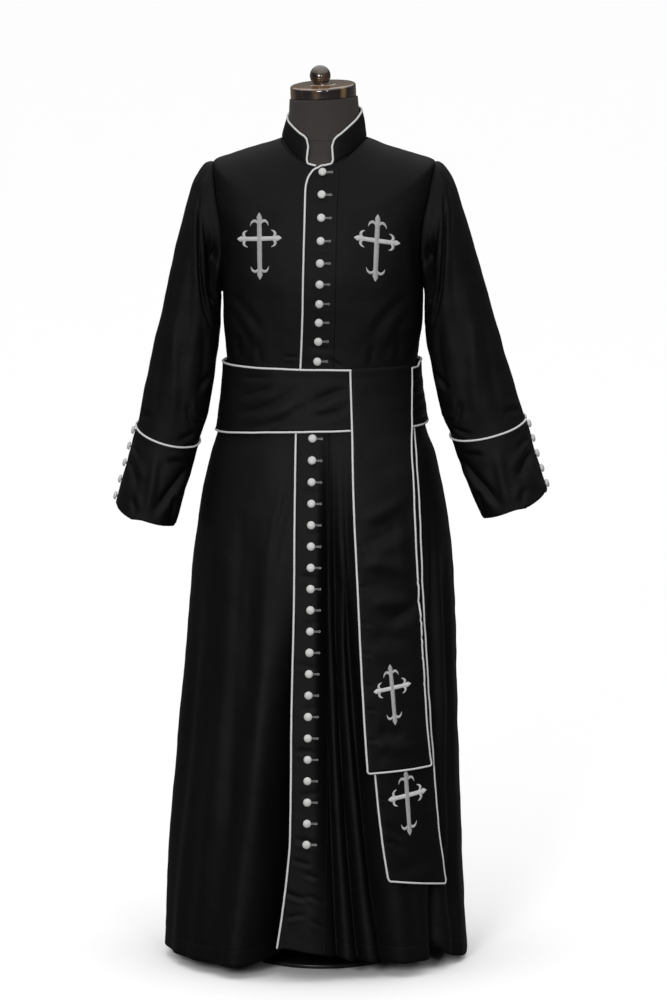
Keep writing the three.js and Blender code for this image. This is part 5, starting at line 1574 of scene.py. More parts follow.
def band_relief(angle, down, point):
    x, y, z = np.moveaxis(point, -1, 0)
    front = relief(BAND_CREASES, x, z) + unevenness(x, z, 0.5, 40)
    back = relief(BACK_BAND_CREASES, x, z) + unevenness(x + 50, z, 0.6, 44)
    belly = BAND_BELLY * np.sin(math.pi * np.clip(down, 0, 1))
    return lerp(front, back, smooth_rise(y, -20, 20)) + belly


BAND_STEP = {"step_down": 0.006}
band_surface = lifted(band_base, band_relief, **BAND_STEP)


def band():
    across = lerp(BAND_FROM, BAND_TO, steps(1130, 4))
    return shell(
        "cloth_sash_band", band_surface, across, steps(118, 3.2)[:, None],
        wall=LINED_CLOTH, lift=BAND_LIFT + LINED_CLOTH, **BAND_STEP,
    )


def band_piping():
    """Round the band's top edge, down its outer end and back along its bottom edge."""
    surface = lifted(band_surface, BAND_PIPING_LIFT, **BAND_STEP)
    up = np.array([0, 0, PIPING_CLEAR])
    aside = math.degrees(PIPING_CLEAR / BAND_RADIUS)
    angles = np.linspace(BAND_FROM, BAND_TO, 200)
    top = surface(angles, np.zeros(angles.shape)) + up
    downs = np.linspace(0.04, 0.96, 12)
    end = surface(np.full(downs.shape, BAND_TO + aside), downs)
    bottom = surface(angles[::-1], np.ones(angles.shape)) - up
    points = np.concatenate([top, end, bottom])
    return piping("band", smooth_path(points, PIPING_SPACING))


# ---------- tails ----------

FRONT_TAIL_LIFT = BAND_PIPING_LIFT + PIPING_RADIUS + LINED_CLOTH / 2 + LAY_GAP
REAR_TAIL_LIFT = 2.7  # between the robe and the band
TAIL_FOLD_INSIDE = 32  # how far the front tail runs down behind the band
TAIL_FOLD_TOP = 1128.5  # over the band's piping
TAIL_FOLD_RISE = 6  # height in which it turns over
TAIL_SPACING = 3.4
TAIL_COMES_FREE = (1125, 1080)  # heights over which its creases begin
TAIL_END_REACH = 180  # height over which a tail's end turns askew


def front_tail_route():
    """The front tail's way, as (lift, height): up behind the band, over its edge and down."""
    inside = BAND_PIPING_LIFT - PIPING_RADIUS - LINED_CLOTH / 2 - LAY_GAP
    middle = (inside + FRONT_TAIL_LIFT) / 2
    half = (FRONT_TAIL_LIFT - inside) / 2
    shoulder = TAIL_FOLD_TOP - TAIL_FOLD_RISE
    behind = [(inside, z) for z in np.linspace(TAIL_FOLD_TOP - TAIL_FOLD_INSIDE, shoulder, 8)]
    turns = np.linspace(math.pi, 0, 13)[1:-1]
    lifts = middle + half * np.cos(turns)
    heights = shoulder + TAIL_FOLD_RISE * np.sin(turns)
    down = straight_down(FRONT_TAIL_LIFT, shoulder, FRONT_TAIL["z"][0])
    return np.array(behind + [*zip(lifts, heights)] + down)


def straight_down(lift, top, foot):
    """A tail's way from a height to its end, with a narrow strip for the rim."""
    heights = np.linspace(top, foot + RIM, round((top - foot) / TAIL_SPACING))
    return [(lift, z) for z in [*heights, foot]]


def rear_tail_route():
    return np.array(straight_down(REAR_TAIL_LIFT, REAR_TAIL["z"][-1], REAR_TAIL["z"][0]))


def tail_lift(creases, seed):
    def lift(x, z):
        hanging = smooth_rise(z, *TAIL_COMES_FREE)
        return hanging * (relief(creases, x, z) + unevenness(x + seed, z, 0.7, 44))

    return lift


TAILS = {
    "front": {
        "route": front_tail_route(),
        "edges": front_tail_edges,
        "rise": FRONT_TAIL_END_RISE,
        "relief": tail_lift(FRONT_TAIL_CREASES, 0),
    },
    "rear": {
        "route": rear_tail_route(),
        "edges": rear_tail_edges,
        "rise": REAR_TAIL_END_RISE,
        "relief": tail_lift(REAR_TAIL_CREASES, 70),
    },
}


def tail_strip(tail):
    """A tail as a surface: across runs from its left to its right edge, and down along its
    route's points."""
    route, edges, rise = tail["route"], tail["edges"], tail["rise"]
    places = np.arange(len(route))
    foot = route[-1, 1]

    def place(across, down):
        lift = np.interp(down, places, route[:, 0])
        z = np.interp(down, places, route[:, 1])
        near = np.clip((foot + TAIL_END_REACH - z) / TAIL_END_REACH, 0, 1) ** 2
        z = z + near * lerp(rise[0], rise[1], across)
        section = band_section(np.minimum(z, WAIST_SEAM))
        at = edges(z)
        angle = lerp(angle_at_x(section, at["left"]), angle_at_x(section, at["right"]), across)
        base = waist_surface(angle, z)
        over = waist_surface(angle + 0.5, z) - waist_surface(angle - 0.5, z)
        up = waist_surface(angle, z + 1) - waist_surface(angle, z - 1)
        out = unit(np.cross(over, up))
        total = lift + tail["relief"](base[..., 0], z)
        return base + out * total[..., None]

    return place


TAIL_STEP = {"step_across": 0.01, "step_down": 0.3}
FOLD_FLAT = 0.3  # a tail's lift this near its last one is past the fold
PIPED_FROM = 8  # point of the rear tail's route


def tail(name):
    facts = TAILS[name]
    down = np.arange(len(facts["route"]), dtype=float)[:, None]
    return shell(
        f"cloth_tail_{name}", tail_strip(facts), steps(108, 3), down,
        wall=LINED_CLOTH, lift=LINED_CLOTH / 2, **TAIL_STEP,
    )


def tail_piping(name):
    """Down the left edge, along the end and up the right edge. It starts where the tail has
    turned over the band, or a little way down behind the band."""
    facts = TAILS[name]
    route = facts["route"]
    strip = tail_strip(facts)
    last = len(route) - 1
    over_fold = np.flatnonzero(route[:, 0] < route[-1, 0] - FOLD_FLAT)
    first = over_fold[-1] + 2 if len(over_fold) else PIPED_FROM
    rows = np.arange(first, last, 2, dtype=float)
    left_edge = strip(np.zeros(rows.shape), rows)
    right_edge = strip(np.ones(rows.shape), rows)
    clear = PIPING_CLEAR / np.linalg.norm(right_edge - left_edge, axis=-1)
    left = strip(-clear, rows)
    right = strip(1 + clear, rows)
    across = np.linspace(0.01, 0.99, 24)
    end = strip(across, np.full(across.shape, float(last)))
    end = end - np.array([0, 0, PIPING_CLEAR])
    points = np.concatenate([left, end, right[::-1]])
    return piping(f"tail_{name}", smooth_path(points, PIPING_SPACING))


# ---------- crosses ----------

# A fleury cross about its own crossing, in a unit height of 1. Each arm is a bar that ends in
# a bud between two turned-back leaves, and each of these is a run of satin stitch.
# The tone of each arm is painted sheen: the upright's stitches run across the light, so it is painted
# darker than the beam.
BEAM = {"half": 0.034, "end_size": 0.82, "level": 0.25, "tone": 1.0}
UPRIGHT = {"half": 0.037, "end_size": 1.0, "level": 0.55, "tone": 0.72}
CROSS_ARMS = [  # way from the crossing, in degrees, and reach
    (0, 0.34, BEAM), (180, 0.34, BEAM), (90, 0.387, UPRIGHT), (270, 0.613, UPRIGHT),
]
LEAF_LEVEL = 0.15
LEAF_SHEEN = 0.85  # painted sheen: a leaf's is half-way from its arm's to this one
BUD_LEVEL = 0.1  # over the bar's
BUD = 0.115  # from an arm's neck to its tip
NECK_WIDTH = 0.9  # of a bar's, beside its bud
BUD_RUN = table("along half", [
    ("under the leaves", -0.03, 0.03),
    ("neck", 0.0, 0.03),
    ("widest", 0.038, 0.041),
    ("narrowing", 0.08, 0.026),
    ("tip", 0.115, 0.003),
])
LEAF_RUN = table("along aside half", [
    ("root", -0.05, 0.012, 0.018),
    ("bend", -0.012, 0.044, 0.021),
    ("crown", -0.005, 0.083, 0.02),
    ("turning back", -0.03, 0.117, 0.014),
    ("tip", -0.078, 0.138, 0.003),
])
SATIN_PITCH = 0.6
SATIN_CROWN = 1.0  # how far a run is raised in its middle
SATIN_SLANT = 0.16  # how far a thread leans along its run, for each step across it
FULL_CROWN = 0.03  # half-width of a run that is raised all the way
SATIN_SHARES = np.array([-1, -0.8, 0, 0.8, 1])  # a thread's points across a run
THREAD_RADIUS = 0.33


def satin_run(points, halves, level, tone):
    """Threads across a run: (paths in the cross's plane with height, painted sheen of each)."""
    flat = np.concatenate([points, np.asarray(halves)[:, None]], axis=1) * CROSS_HEIGHT
    line = smooth_path(flat, SATIN_PITCH) if len(flat) > 2 else resampled(flat, SATIN_PITCH)
    ways = unit(np.gradient(line[:, :2], axis=0))
    asides = turned_left(ways) + SATIN_SLANT * ways
    flat_paths = line[:, None, :2] + asides[:, None] * SATIN_SHARES[:, None] * line[:, None, 2:]
    crown = SATIN_CROWN * np.minimum(line[:, 2:] / (FULL_CROWN * CROSS_HEIGHT), 1)
    height = level + crown * np.sqrt(1 - SATIN_SHARES**2)
    return np.concatenate([flat_paths, height[..., None]], axis=-1), np.full(len(line), tone)


def arm_runs(turn, reach, bar):
    """The runs of one arm: its two leaves, its bar and its bud."""
    half, size, level, tone = bar.values()
    neck = reach - BUD * size
    way = np.array([math.cos(math.radians(turn)), math.sin(math.radians(turn))])

    def placed(along, aside):
        return np.outer(along, way) + np.outer(aside, turned_left(way))

    runs = []
    for side in (1, -1):
        leaf = placed(LEAF_RUN["along"] * size + neck, LEAF_RUN["aside"] * side * size**0.5)
        runs.append(satin_run(leaf, LEAF_RUN["half"], LEAF_LEVEL, lerp(tone, LEAF_SHEEN, 0.5)))
    stem = placed([0, neck], [0, 0])
    runs.append(satin_run(stem, [half, half * NECK_WIDTH], level, tone))
    bud = placed(BUD_RUN["along"] * size + neck, 0 * BUD_RUN["along"])
    runs.append(satin_run(bud, BUD_RUN["half"], level + BUD_LEVEL, tone))
    return runs


CROSS_RUNS = [run for arm in CROSS_ARMS for run in arm_runs(*arm)]
PATCH_COUNT = 22  # of a patch's points along each side


def patch(surface, centre, half):
    """A quick stand-in for a surface of (x, z) round a centre: places and ways out, from a
    grid of the real ones."""
    xs, zs = (np.linspace(middle - half, middle + half, PATCH_COUNT) for middle in centre)
    values = np.concatenate(surface(*np.meshgrid(xs, zs)), axis=-1)

    def at(x, z):
        i = np.clip((z - zs[0]) / (zs[1] - zs[0]), 0, PATCH_COUNT - 1.001)
        j = np.clip((x - xs[0]) / (xs[1] - xs[0]), 0, PATCH_COUNT - 1.001)
        low_i, low_j = i.astype(int), j.astype(int)
        share_i, share_j = (i - low_i)[..., None], (j - low_j)[..., None]
        upper = lerp(values[low_i, low_j], values[low_i, low_j + 1], share_j)
        lower = lerp(values[low_i + 1, low_j], values[low_i + 1, low_j + 1], share_j)
        value = lerp(upper, lower, share_i)
        return value[..., :3], unit(value[..., 3:])

    return at


def chest_surface(x, z):
    return on_front(x, z), front_out(x, z)


def tail_surface(name, lift):
    def surface(x, z):
        out = front_out(x, z)
        total = lift + TAILS[name]["relief"](x, z)
        return robe_front_base(x, z) + out * total[..., None], out

    return surface


front_tail_surface = tail_surface("front", FRONT_TAIL_LIFT + LINED_CLOTH / 2)
rear_tail_surface = tail_surface("rear", REAR_TAIL_LIFT + LINED_CLOTH / 2)
# Each cross: x and z of its crossing, tilt of the whole and droop of its beam in degrees,
# size, width against height, and the surface that it lies on.
CROSSES = {
    "cross_chest_right": (-107, 1366, 1, 2, 1.0, 1.0, chest_surface),
    "cross_chest_left": (109, 1364, -2, -7, 1.0, 1.0, chest_surface),
    "cross_front_tail": (138.5, 545, 5, 5, 0.92, 0.84, front_tail_surface),
    "cross_rear_tail": (169, 344, 4, 5, 1.0, 0.8, rear_tail_surface),
}
CROSS_REACH = 0.72  # half of the patch under a cross, as a share of its height
CROSS_LIFT = 0.15  # of the threads, over the pad's height
PAD_LIFT = 0.05  # of the pad's foot, out of the cloth
PAD_BELOW = 0.05  # from the pad's top to the height of its run
TONE_VARIATION = 0.05
PAD_SHADE = 0.8  # of its threads' painted sheen: painted shade on the pad, which shows between the threads


def embroidered_cross(name):
    """A raised cross of satin stitch with painted sheen, over a pad of the same silk painted darker as
    shade between the threads.
    """
    x, z, tilt, droop, scale, wide, surface = CROSSES[name]
    at = patch(surface, (x, z), CROSS_HEIGHT * CROSS_REACH)
    cosine, sine = math.cos(math.radians(tilt)), math.sin(math.radians(tilt))
    slope = math.tan(math.radians(droop))
    rng = np.random.default_rng(len(name))
    parts, sheens_and_tones = [], []
    for paths, tone in CROSS_RUNS:
        u, v, height = np.moveaxis(paths, -1, 0)
        u, v = u * wide * scale, (v + u * wide * slope) * scale
        points, outs = at(x + u * cosine - v * sine, z + u * sine + v * cosine)
        threads = thread_parts(points + outs * (height + CROSS_LIFT)[..., None], outs, THREAD_RADIUS)
        pad = pad_parts(points, outs, height)
        parts += [threads, pad]
        # Painted sheen of the run, spread a little at random from thread to thread.
        each = tone * (1 + rng.normal(0, TONE_VARIATION, len(tone)))
        sheens_and_tones.append(np.repeat(each, len(threads[0]) // len(tone)))
        # The pad gets painted shade, darker than its threads.
        sheens_and_tones.append(np.full(len(pad[0]), tone[0] * PAD_SHADE))
    piece = joined(f"satin_{name}", parts)
    add_sheen_and_tone(piece, np.concatenate(sheens_and_tones))
    return piece


def pad_parts(points, outs, height):
    """The filling under a run of stitches, just below its threads."""
    top = points + outs * (height - PAD_BELOW)[..., None]
    foot = points + outs * PAD_LIFT
    rows, columns = height.shape
    both = np.concatenate([top.reshape(-1, 3), foot.reshape(-1, 3)])
    faces = [
        grid_faces(rows, columns, False, turned=True),
        grid_faces(rows, columns, False, rows * columns),
        *[quads[:, ::-1] for quads in rim_faces(rows, columns, False)],
    ]
    return both, np.concatenate(faces).tolist(), np.zeros((len(both), 2))


# Stores painted light on each point: painted sheen and shade on the crosses, a painted reflection on the
# cap's top.
def add_sheen_and_tone(piece, values):
    attribute = piece.data.attributes.new("tone", "FLOAT", "POINT")
    attribute.data.foreach_set("value", np.asarray(values, np.float32))


# ---------- dress form ----------

FORM_EASE = 1.2  # between the form here and its solid, so that the creases stay clear of it
FORM_ANGLES = np.linspace(-180, 180, 97)[:-1]
COVERED_ROWS = np.linspace(0, 7.33, 9)  # of the torso, under the bodice
FORM_ROWS = 120


def form_body():
    """Neck, trunk and hips in one, under a jersey cover."""
    inside = lifted(torso_base, lambda angle, row, point: -CLOTH - FORM_EASE - form_clearance(row))
    covered = [inside(FORM_ANGLES, np.full(FORM_ANGLES.shape, row)) for row in COVERED_ROWS]
    rings = np.array(rings_of(FORM_NECK, FORM_ANGLES) + covered + rings_of(FORM_HIPS, FORM_ANGLES))
    rings[0, :, 2] += rings[0, :, 0] * math.tan(math.radians(CAP_TILT_SIDE))
    places = np.arange(len(rings))
    fine = np.linspace(0, places[-1], FORM_ROWS)
    lines = [smooth_through(places, line)(fine) for line in rings.reshape(len(rings), -1).T]
    smooth = np.array(lines).T.reshape(FORM_ROWS, *rings.shape[1:])
    return joined("jersey_form_body", [lofted_parts(smooth)])


# The cover's seam round the front of the neck: its height at the sides, how far it sags
# to the front, and its radius.
NECK_SEAM = {"left": 63, "right": 70.2, "front": 66.4, "back": 54, "square": 2}
NECK_SEAM_Z = 1549
NECK_SEAM_SAG = 5
NECK_SEAM_RADIUS = 0.9


def neck_seam():
    """The seam of the jersey cover, as a fine raised line round the neck."""
    angles = np.linspace(-70, 70, 60)
    z = NECK_SEAM_Z - NECK_SEAM_SAG * np.cos(np.radians(angles))
    points = on_section({**NECK_SEAM, "z": z}, angles)
    return joined("jersey_neck_seam", [tube_parts(points, NECK_SEAM_RADIUS, 8)])


def arc(centre, radius, start, end, count):
    """Points of an arc in (radius, height), from one angle to another, in degrees."""
    turns = np.radians(np.linspace(start, end, count))
    return [(centre[0] + radius * math.cos(t), centre[1] + radius * math.sin(t)) for t in turns]


BALL_ASIDE = 4  # the ball is a little off the cap's middle
CAP_FOOT_DROP = 5  # the cap's foot lies level on the neck, though its top leans forward


def form_cap():
    """The turned and lacquered neck cap with its ball."""
    rim = CAP_RIM
    ball_centre = rim + BALL_RISE
    profile = [
        (0, 0),
        *arc((CAP_RADIUS - 1.5, 1.5), 1.5, -90, 0, 5),
        *arc((CAP_RADIUS - 4, rim - 4), 4, 0, 80, 8),
        (CAP_RADIUS - 12, rim + 0.5),
        (30, rim + 1),
        *arc((15.5, rim + 2.6), 1.6, -90, 90, 7),
        *arc((0, ball_centre), BALL_RADIUS, -54, 89, 24),
        (0, ball_centre + BALL_RADIUS),
    ]
    points, faces, uvs = lathe_parts(profile, 96)
    heights = points[:, 2].copy()
    points[:, 0] -= BALL_ASIDE * smooth_rise(heights, rim + 2, rim + 6)  # only from the ball's foot up
    front, side = math.radians(CAP_TILT_FRONT), math.radians(-CAP_TILT_SIDE)
    x = points[:, 0] * math.cos(side) + points[:, 2] * math.sin(side)
    leaned = points[:, 2] * math.cos(side) - points[:, 0] * math.sin(side)
    y = points[:, 1] * math.cos(front) - leaned * math.sin(front)
    tilted = points[:, 1] * math.sin(front) + leaned * math.cos(front)
    z = lerp(leaned - CAP_FOOT_DROP, tilted, smooth_rise(heights, 0, rim - 4))
    cap = joined("lacquered_neck_cap", [(np.stack([x, y, z], axis=-1) + CAP_CENTRE, faces, uvs)])
    # Painted reflection: the flat top, out to the ball's foot, is marked to be painted paler.
    top_reflection_mask = smooth_rise(heights, rim - 2, rim) * (heights < rim + 1.2)
    add_sheen_and_tone(cap, top_reflection_mask)
    return cap


def form_stand():
    """The pole with its collars, and the cast round base."""
    underside = FORM_HIPS["z"][-1] - SEAM_GAP
    profile = [
        (0, 0),
        *arc((BASE_RADIUS - 2, 2), 2, -90, 0, 4),
        *arc((BASE_RADIUS - 3, 5), 3, 0, 80, 5),
        (BASE_RADIUS - 12, 10),
        (100, 13.5),
        (60, 18),
        (34, 23.5),
        *arc((26, 27), 3, -60, 60, 5),
        (24, 33),
        (24, 50),
        *arc((21, 53), 3, 0, 90, 4),
        (POLE_RADIUS, 58),
        (POLE_RADIUS, underside - 30),
        (27, underside - 26),
        (28, underside - 22),
        (34, underside - 4),
        (34, underside),
        (0, underside),
    ]
    return joined("cast_stand", [lathe_parts(profile, 96)])


# ---------- shader node groups ----------


def new_group(name, inputs, outputs):
    """A node group with inputs (name, kind, value) and float outputs, and its two end nodes."""
    group = bpy.data.node_groups.new(name, "ShaderNodeTree")
    for socket, kind, value in inputs:
        made = group.interface.new_socket(name=socket, in_out="INPUT", socket_type=kind)
        if value is not None:
            made.default_value = value
    for socket in outputs:
        group.interface.new_socket(name=socket, in_out="OUTPUT", socket_type="NodeSocketFloat")
    return group, group.nodes.new("NodeGroupInput"), group.nodes.new("NodeGroupOutput")


def feed(tree, socket, value):
    """Sets an input to a plain number, or links it to an output."""
    if isinstance(value, (int, float)):
        socket.default_value = value
    else:
        tree.links.new(value, socket)


def maths(tree, kind, *values):
    """A Math node over outputs and plain numbers."""
    node = tree.nodes.new("ShaderNodeMath")
    node.operation = kind
    for socket, value in zip(node.inputs, values):
        feed(tree, socket, value)
    return node.outputs[0]


def noise(tree, vector, scale, detail=2.0, stretch=None):
    """A noise texture in space, or one drawn out along an axis."""
    if stretch:
        mapping = tree.nodes.new("ShaderNodeMapping")
        mapping.inputs["Scale"].default_value = stretch
        tree.links.new(vector, mapping.inputs["Vector"])
        vector = mapping.outputs[0]
    node = tree.nodes.new("ShaderNodeTexNoise")
    node.inputs["Detail"].default_value = detail
    tree.links.new(vector, node.inputs["Vector"])
    feed(tree, node.inputs["Scale"], scale)
    return node.outputs["Fac"]


def weave_group():
    """Warp and weft threads passing over each other, as a height."""
    inputs = [("Vector", "NodeSocketVector", None), ("Threads", "NodeSocketFloat", 900.0)]
    group, start, end = new_group("woven threads", inputs, ["Height"])
    parts = group.nodes.new("ShaderNodeSeparateXYZ")
    group.links.new(start.outputs["Vector"], parts.inputs[0])
    turns = maths(group, "MULTIPLY", start.outputs["Threads"], math.pi)
    across = maths(group, "MULTIPLY", parts.outputs["X"], turns)
    down = maths(group, "MULTIPLY", parts.outputs["Y"], turns)
    warp = maths(group, "ABSOLUTE", maths(group, "SINE", across))
    weft = maths(group, "ABSOLUTE", maths(group, "SINE", down))
    over = maths(group, "SINE", maths(group, "ADD", across, down))
    mix = group.nodes.new("ShaderNodeMix")
    group.links.new(maths(group, "MULTIPLY_ADD", over, 0.5, 0.5), mix.inputs["Factor"])
    group.links.new(warp, mix.inputs["A"])
    group.links.new(weft, mix.inputs["B"])
    group.links.new(mix.outputs["Result"], end.inputs["Height"])
    return group


def wear_group():
    """Slow swells of tone and a fine crumple of the surface, from 0 to 1."""
    inputs = [
        ("Vector", "NodeSocketVector", None),
        ("Swells", "NodeSocketFloat", 9.0),
        ("Crumples", "NodeSocketFloat", 70.0),
    ]
    group, start, end = new_group("handled cloth", inputs, ["Tone", "Crumple"])
    swells = noise(group, start.outputs["Vector"], start.outputs["Swells"], 3)
    crumples = noise(group, start.outputs["Vector"], start.outputs["Crumples"], 2)
    group.links.new(swells, end.inputs["Tone"])
    group.links.new(crumples, end.inputs["Crumple"])
    return group


WEAVE = weave_group()
WEAR = wear_group()


def placed_group(tree, group, vector, **values):
    node = tree.nodes.new("ShaderNodeGroup")
    node.node_tree = group
    tree.links.new(vector, node.inputs["Vector"])
    for name, value in values.items():
        node.inputs[name].default_value = value
    return node


# ---------- materials ----------

WEAVE_SHARE = 0.35  # of the weave's height beside the crumple's
SPECKS = 0.3  # how far the silk's tone varies within a thread
STREAK_STRETCH = 0.05  # of the noise, up and down the wood
STREAK_CONTRAST = (3, -1.35)  # factor and offset
# painted reflection: how much paler the cap's flat top is painted
PAINTED_TOP_REFLECTION = 1.1


def new_material(name, roughness, specular, sheen=0.0, coat=0.0, metallic=0.0):
    material = bpy.data.materials.new(name)
    material.use_nodes = True
    tree = material.node_tree
    shader = tree.nodes["Principled BSDF"]
    shader.inputs["Roughness"].default_value = roughness
    shader.inputs["Specular IOR Level"].default_value = specular
    shader.inputs["Sheen Weight"].default_value = sheen
    shader.inputs["Sheen Roughness"].default_value = 0.5
    shader.inputs["Coat Weight"].default_value = coat
    shader.inputs["Coat Roughness"].default_value = 0.04
    shader.inputs["Metallic"].default_value = metallic
    return material, tree, shader


def grey(value):
    return (value, value, value)


def blended(tree, factor, dark, light):
    """A colour between two, by a factor that changes over the surface."""
    mix = tree.nodes.new("ShaderNodeMix")
    mix.data_type = "RGBA"
    mix.inputs["A"].default_value = (*dark, 1)
    mix.inputs["B"].default_value = (*light, 1)
    tree.links.new(factor, mix.inputs["Factor"])
    return mix.outputs["Result"]


def coloured(tree, shader, factor, dark, light):
    tree.links.new(blended(tree, factor, dark, light), shader.inputs["Base Color"])


def stored_sheen_and_tone(tree):
    """The painted light from 0 to 1 stored on each point: the crosses' painted sheen and shade, and the
    cap's painted reflection on its top.
    """
    node = tree.nodes.new("ShaderNodeAttribute")
    node.attribute_name = "tone"
    return node.outputs["Fac"]


def bumped(tree, shader, height, distance):
    bump = tree.nodes.new("ShaderNodeBump")
    bump.inputs["Distance"].default_value = distance
    bump.inputs["Strength"].default_value = 1.0
    tree.links.new(height, bump.inputs["Height"])
    tree.links.new(bump.outputs[0], shader.inputs["Normal"])


def place_in_space(tree):
    return tree.nodes.new("ShaderNodeTexCoord").outputs["Object"]


def place_on_cut(tree):
    node = tree.nodes.new("ShaderNodeUVMap")
    node.uv_map = "cut"
    return node.outputs["UV"]


def woven(name, dark, light, roughness, specular, threads, bump, sheen=0.0):
    """A woven cloth: threads to a metre on the flat cut, and swells and crumples in space."""
    material, tree, shader = new_material(name, roughness, specular, sheen)
    weave = placed_group(tree, WEAVE, place_on_cut(tree), Threads=threads)
    wear = placed_group(tree, WEAR, place_in_space(tree))
    coloured(tree, shader, wear.outputs["Tone"], dark, light)
    height = maths(tree, "MULTIPLY_ADD", weave.outputs["Height"], WEAVE_SHARE, wear.outputs["Crumple"])
    bumped(tree, shader, height, bump)
    return material


def black_suiting():
    return woven(
        "black suiting", (0.0016, 0.0016, 0.0017), (0.003, 0.003, 0.0032),
        roughness=0.55, specular=0.11, threads=900, bump=0.0003,
    )


def white_piping_satin():
    return woven(
        "white piping satin", grey(0.52), grey(0.62),
        roughness=0.42, specular=0.4, threads=1400, bump=0.0001,
    )


def button_satin():
    return woven(
        "button satin", (0.46, 0.455, 0.45), (0.56, 0.555, 0.55),
        roughness=0.4, specular=0.45, threads=1400, bump=0.00008,
    )


def form_jersey():
    return woven(
        "form jersey", (0.028, 0.024, 0.0222), (0.039, 0.033, 0.031),
        roughness=0.85, specular=0.3, threads=700, bump=0.0004, sheen=0.05,
    )


def black_thread():
    return thread("black thread", grey(0.008), grey(0.02), roughness=0.4, specular=0.5)


def buttonhole_thread():
    return thread("buttonhole thread", grey(0.26), grey(0.42), roughness=0.45, specular=0.4)


def thread(name, dark, light, roughness, specular):
    """Spun thread: its tone changes a little from stretch to stretch."""
    material, tree, shader = new_material(name, roughness, specular)
    wear = placed_group(tree, WEAR, place_in_space(tree), Swells=160.0, Crumples=900.0)
    coloured(tree, shader, wear.outputs["Tone"], dark, light)
    bumped(tree, shader, wear.outputs["Crumple"], 0.0001)
    return material


def embroidery_silk():
    """Silver-grey floss with painted sheen: painted darker where its stitches run across the light, as
    on the upright.
    """
    material, tree, shader = new_material("embroidery silk", roughness=0.38, specular=0.45)
    wear = placed_group(tree, WEAR, place_in_space(tree), Swells=220.0, Crumples=1200.0)
    speck = maths(tree, "MULTIPLY_ADD", wear.outputs["Tone"], SPECKS, -SPECKS / 2)
    # The stored number is painted sheen; the specks vary at random within a thread.
    factor = maths(tree, "ADD", stored_sheen_and_tone(tree), speck)
    coloured(tree, shader, factor, (0.06, 0.06, 0.062), (0.56, 0.56, 0.565))
    bumped(tree, shader, wear.outputs["Crumple"], 0.0001)
    return material


def lacquered_wood():
    """Dark turned wood, streaked down its rim, under a glossy lacquer; its flat top is painted paler, a
    painted reflection of the sky.
    """
    material, tree, shader = new_material("lacquered wood", roughness=0.16, specular=0.5, coat=1.0)
    streaks = noise(tree, place_in_space(tree), scale=52, detail=3, stretch=(1, 1, STREAK_STRETCH))
    sharper = maths(tree, "MULTIPLY_ADD", streaks, *STREAK_CONTRAST)
    # The stored top mask paints a paler reflection of the sky on the flat top.
    factor = maths(tree, "MULTIPLY_ADD", stored_sheen_and_tone(tree), PAINTED_TOP_REFLECTION, sharper)
    coloured(tree, shader, factor, (0.012, 0.007, 0.006), (0.2, 0.12, 0.06))
    return material


def satin_black_metal():
    material, tree, shader = new_material("satin black metal", roughness=0.38, specular=0.5)
    cast = noise(tree, place_in_space(tree), scale=220, detail=3)
    coloured(tree, shader, cast, grey(0.008), grey(0.016))
    bumped(tree, shader, cast, 0.0003)
    return material


def pale_floor():
    """Nearly white where the camera sees it, and dim in what the cloth mirrors of it."""
    material, tree, shader = new_material("pale floor", roughness=0.9, specular=0.0)
    seen = tree.nodes.new("ShaderNodeLightPath").outputs["Is Camera Ray"]
    coloured(tree, shader, seen, grey(0.12), grey(0.94))
    return material


# ---------- camera, floor and light ----------

CAMERA_PLACE = (0.71856, -9.97564, 2.32)
CAMERA_AIM = (0.021, 0, 0.865)
CAMERA_LENS = 194.54
LIGHTS = {  # place, aim and size in metres, and power
    "key": ((-0.9, -5.4, 2.1), (0, 0, 1.15), (1.2, 1.2), 148),
    "fill": ((1.6, -4.8, 2.0), (0, 0, 1.2), (0.5, 0.8), 28),
}
SKY_STRENGTH = 1.66  # straight above


def look_at(item, place, aim):
    item.location = place
    item.rotation_euler = (Vector(aim) - Vector(place)).to_track_quat("-Z", "Y").to_euler()
    bpy.context.scene.collection.objects.link(item)


def set_camera():
    camera = bpy.data.objects.new("camera", bpy.data.cameras.new("camera"))
    camera.data.lens = CAMERA_LENS
    camera.data.sensor_width = 36
    camera.data.sensor_fit = "AUTO"
    camera.data.clip_end = 400
    look_at(camera, CAMERA_PLACE, CAMERA_AIM)
    bpy.context.scene.camera = camera


def area_light(name, place, aim, size, power):
    light = bpy.data.lights.new(name, "AREA")
    light.shape = "RECTANGLE"
    light.size, light.size_y = size
    light.energy = power
    look_at(bpy.data.objects.new(name, light), place, aim)


def sky():
    """Light that is strongest from straight above, and fades to none at the horizon."""
    world = bpy.data.worlds.new("studio")
    bpy.context.scene.world = world
    world.use_nodes = True
    tree = world.node_tree
    parts = tree.nodes.new("ShaderNodeSeparateXYZ")
    tree.links.new(tree.nodes.new("ShaderNodeTexCoord").outputs["Generated"], parts.inputs[0])
    height = maths(tree, "MAXIMUM", parts.outputs["Z"], 0.0)
    strength = maths(tree, "MULTIPLY", height, SKY_STRENGTH)
    tree.links.new(strength, tree.nodes["Background"].inputs["Strength"])
    tree.nodes["Background"].inputs["Color"].default_value = (1, 1, 1, 1)


FLOOR_RINGS = [(0.01, 0), (60, 0), (200, 90)]  # radius and height, in metres
FLOOR_SIDES = 48
UNDER_BASE = 0.0005  # from the stand down to the floor, in metres


def studio_floor():
    """A flat floor that climbs like a wide bowl far behind everything."""
    turn = even_turns(FLOOR_SIDES)
    rings = [
        np.stack([radius * np.cos(turn), radius * np.sin(turn), height + 0 * turn], axis=-1)
        for radius, height in FLOOR_RINGS
    ]
    faces = [list(range(FLOOR_SIDES)), *grid_faces(len(rings), FLOOR_SIDES, True).tolist()]
    return make_mesh("floor", np.concatenate(rings) / MM, faces, smooth=False)


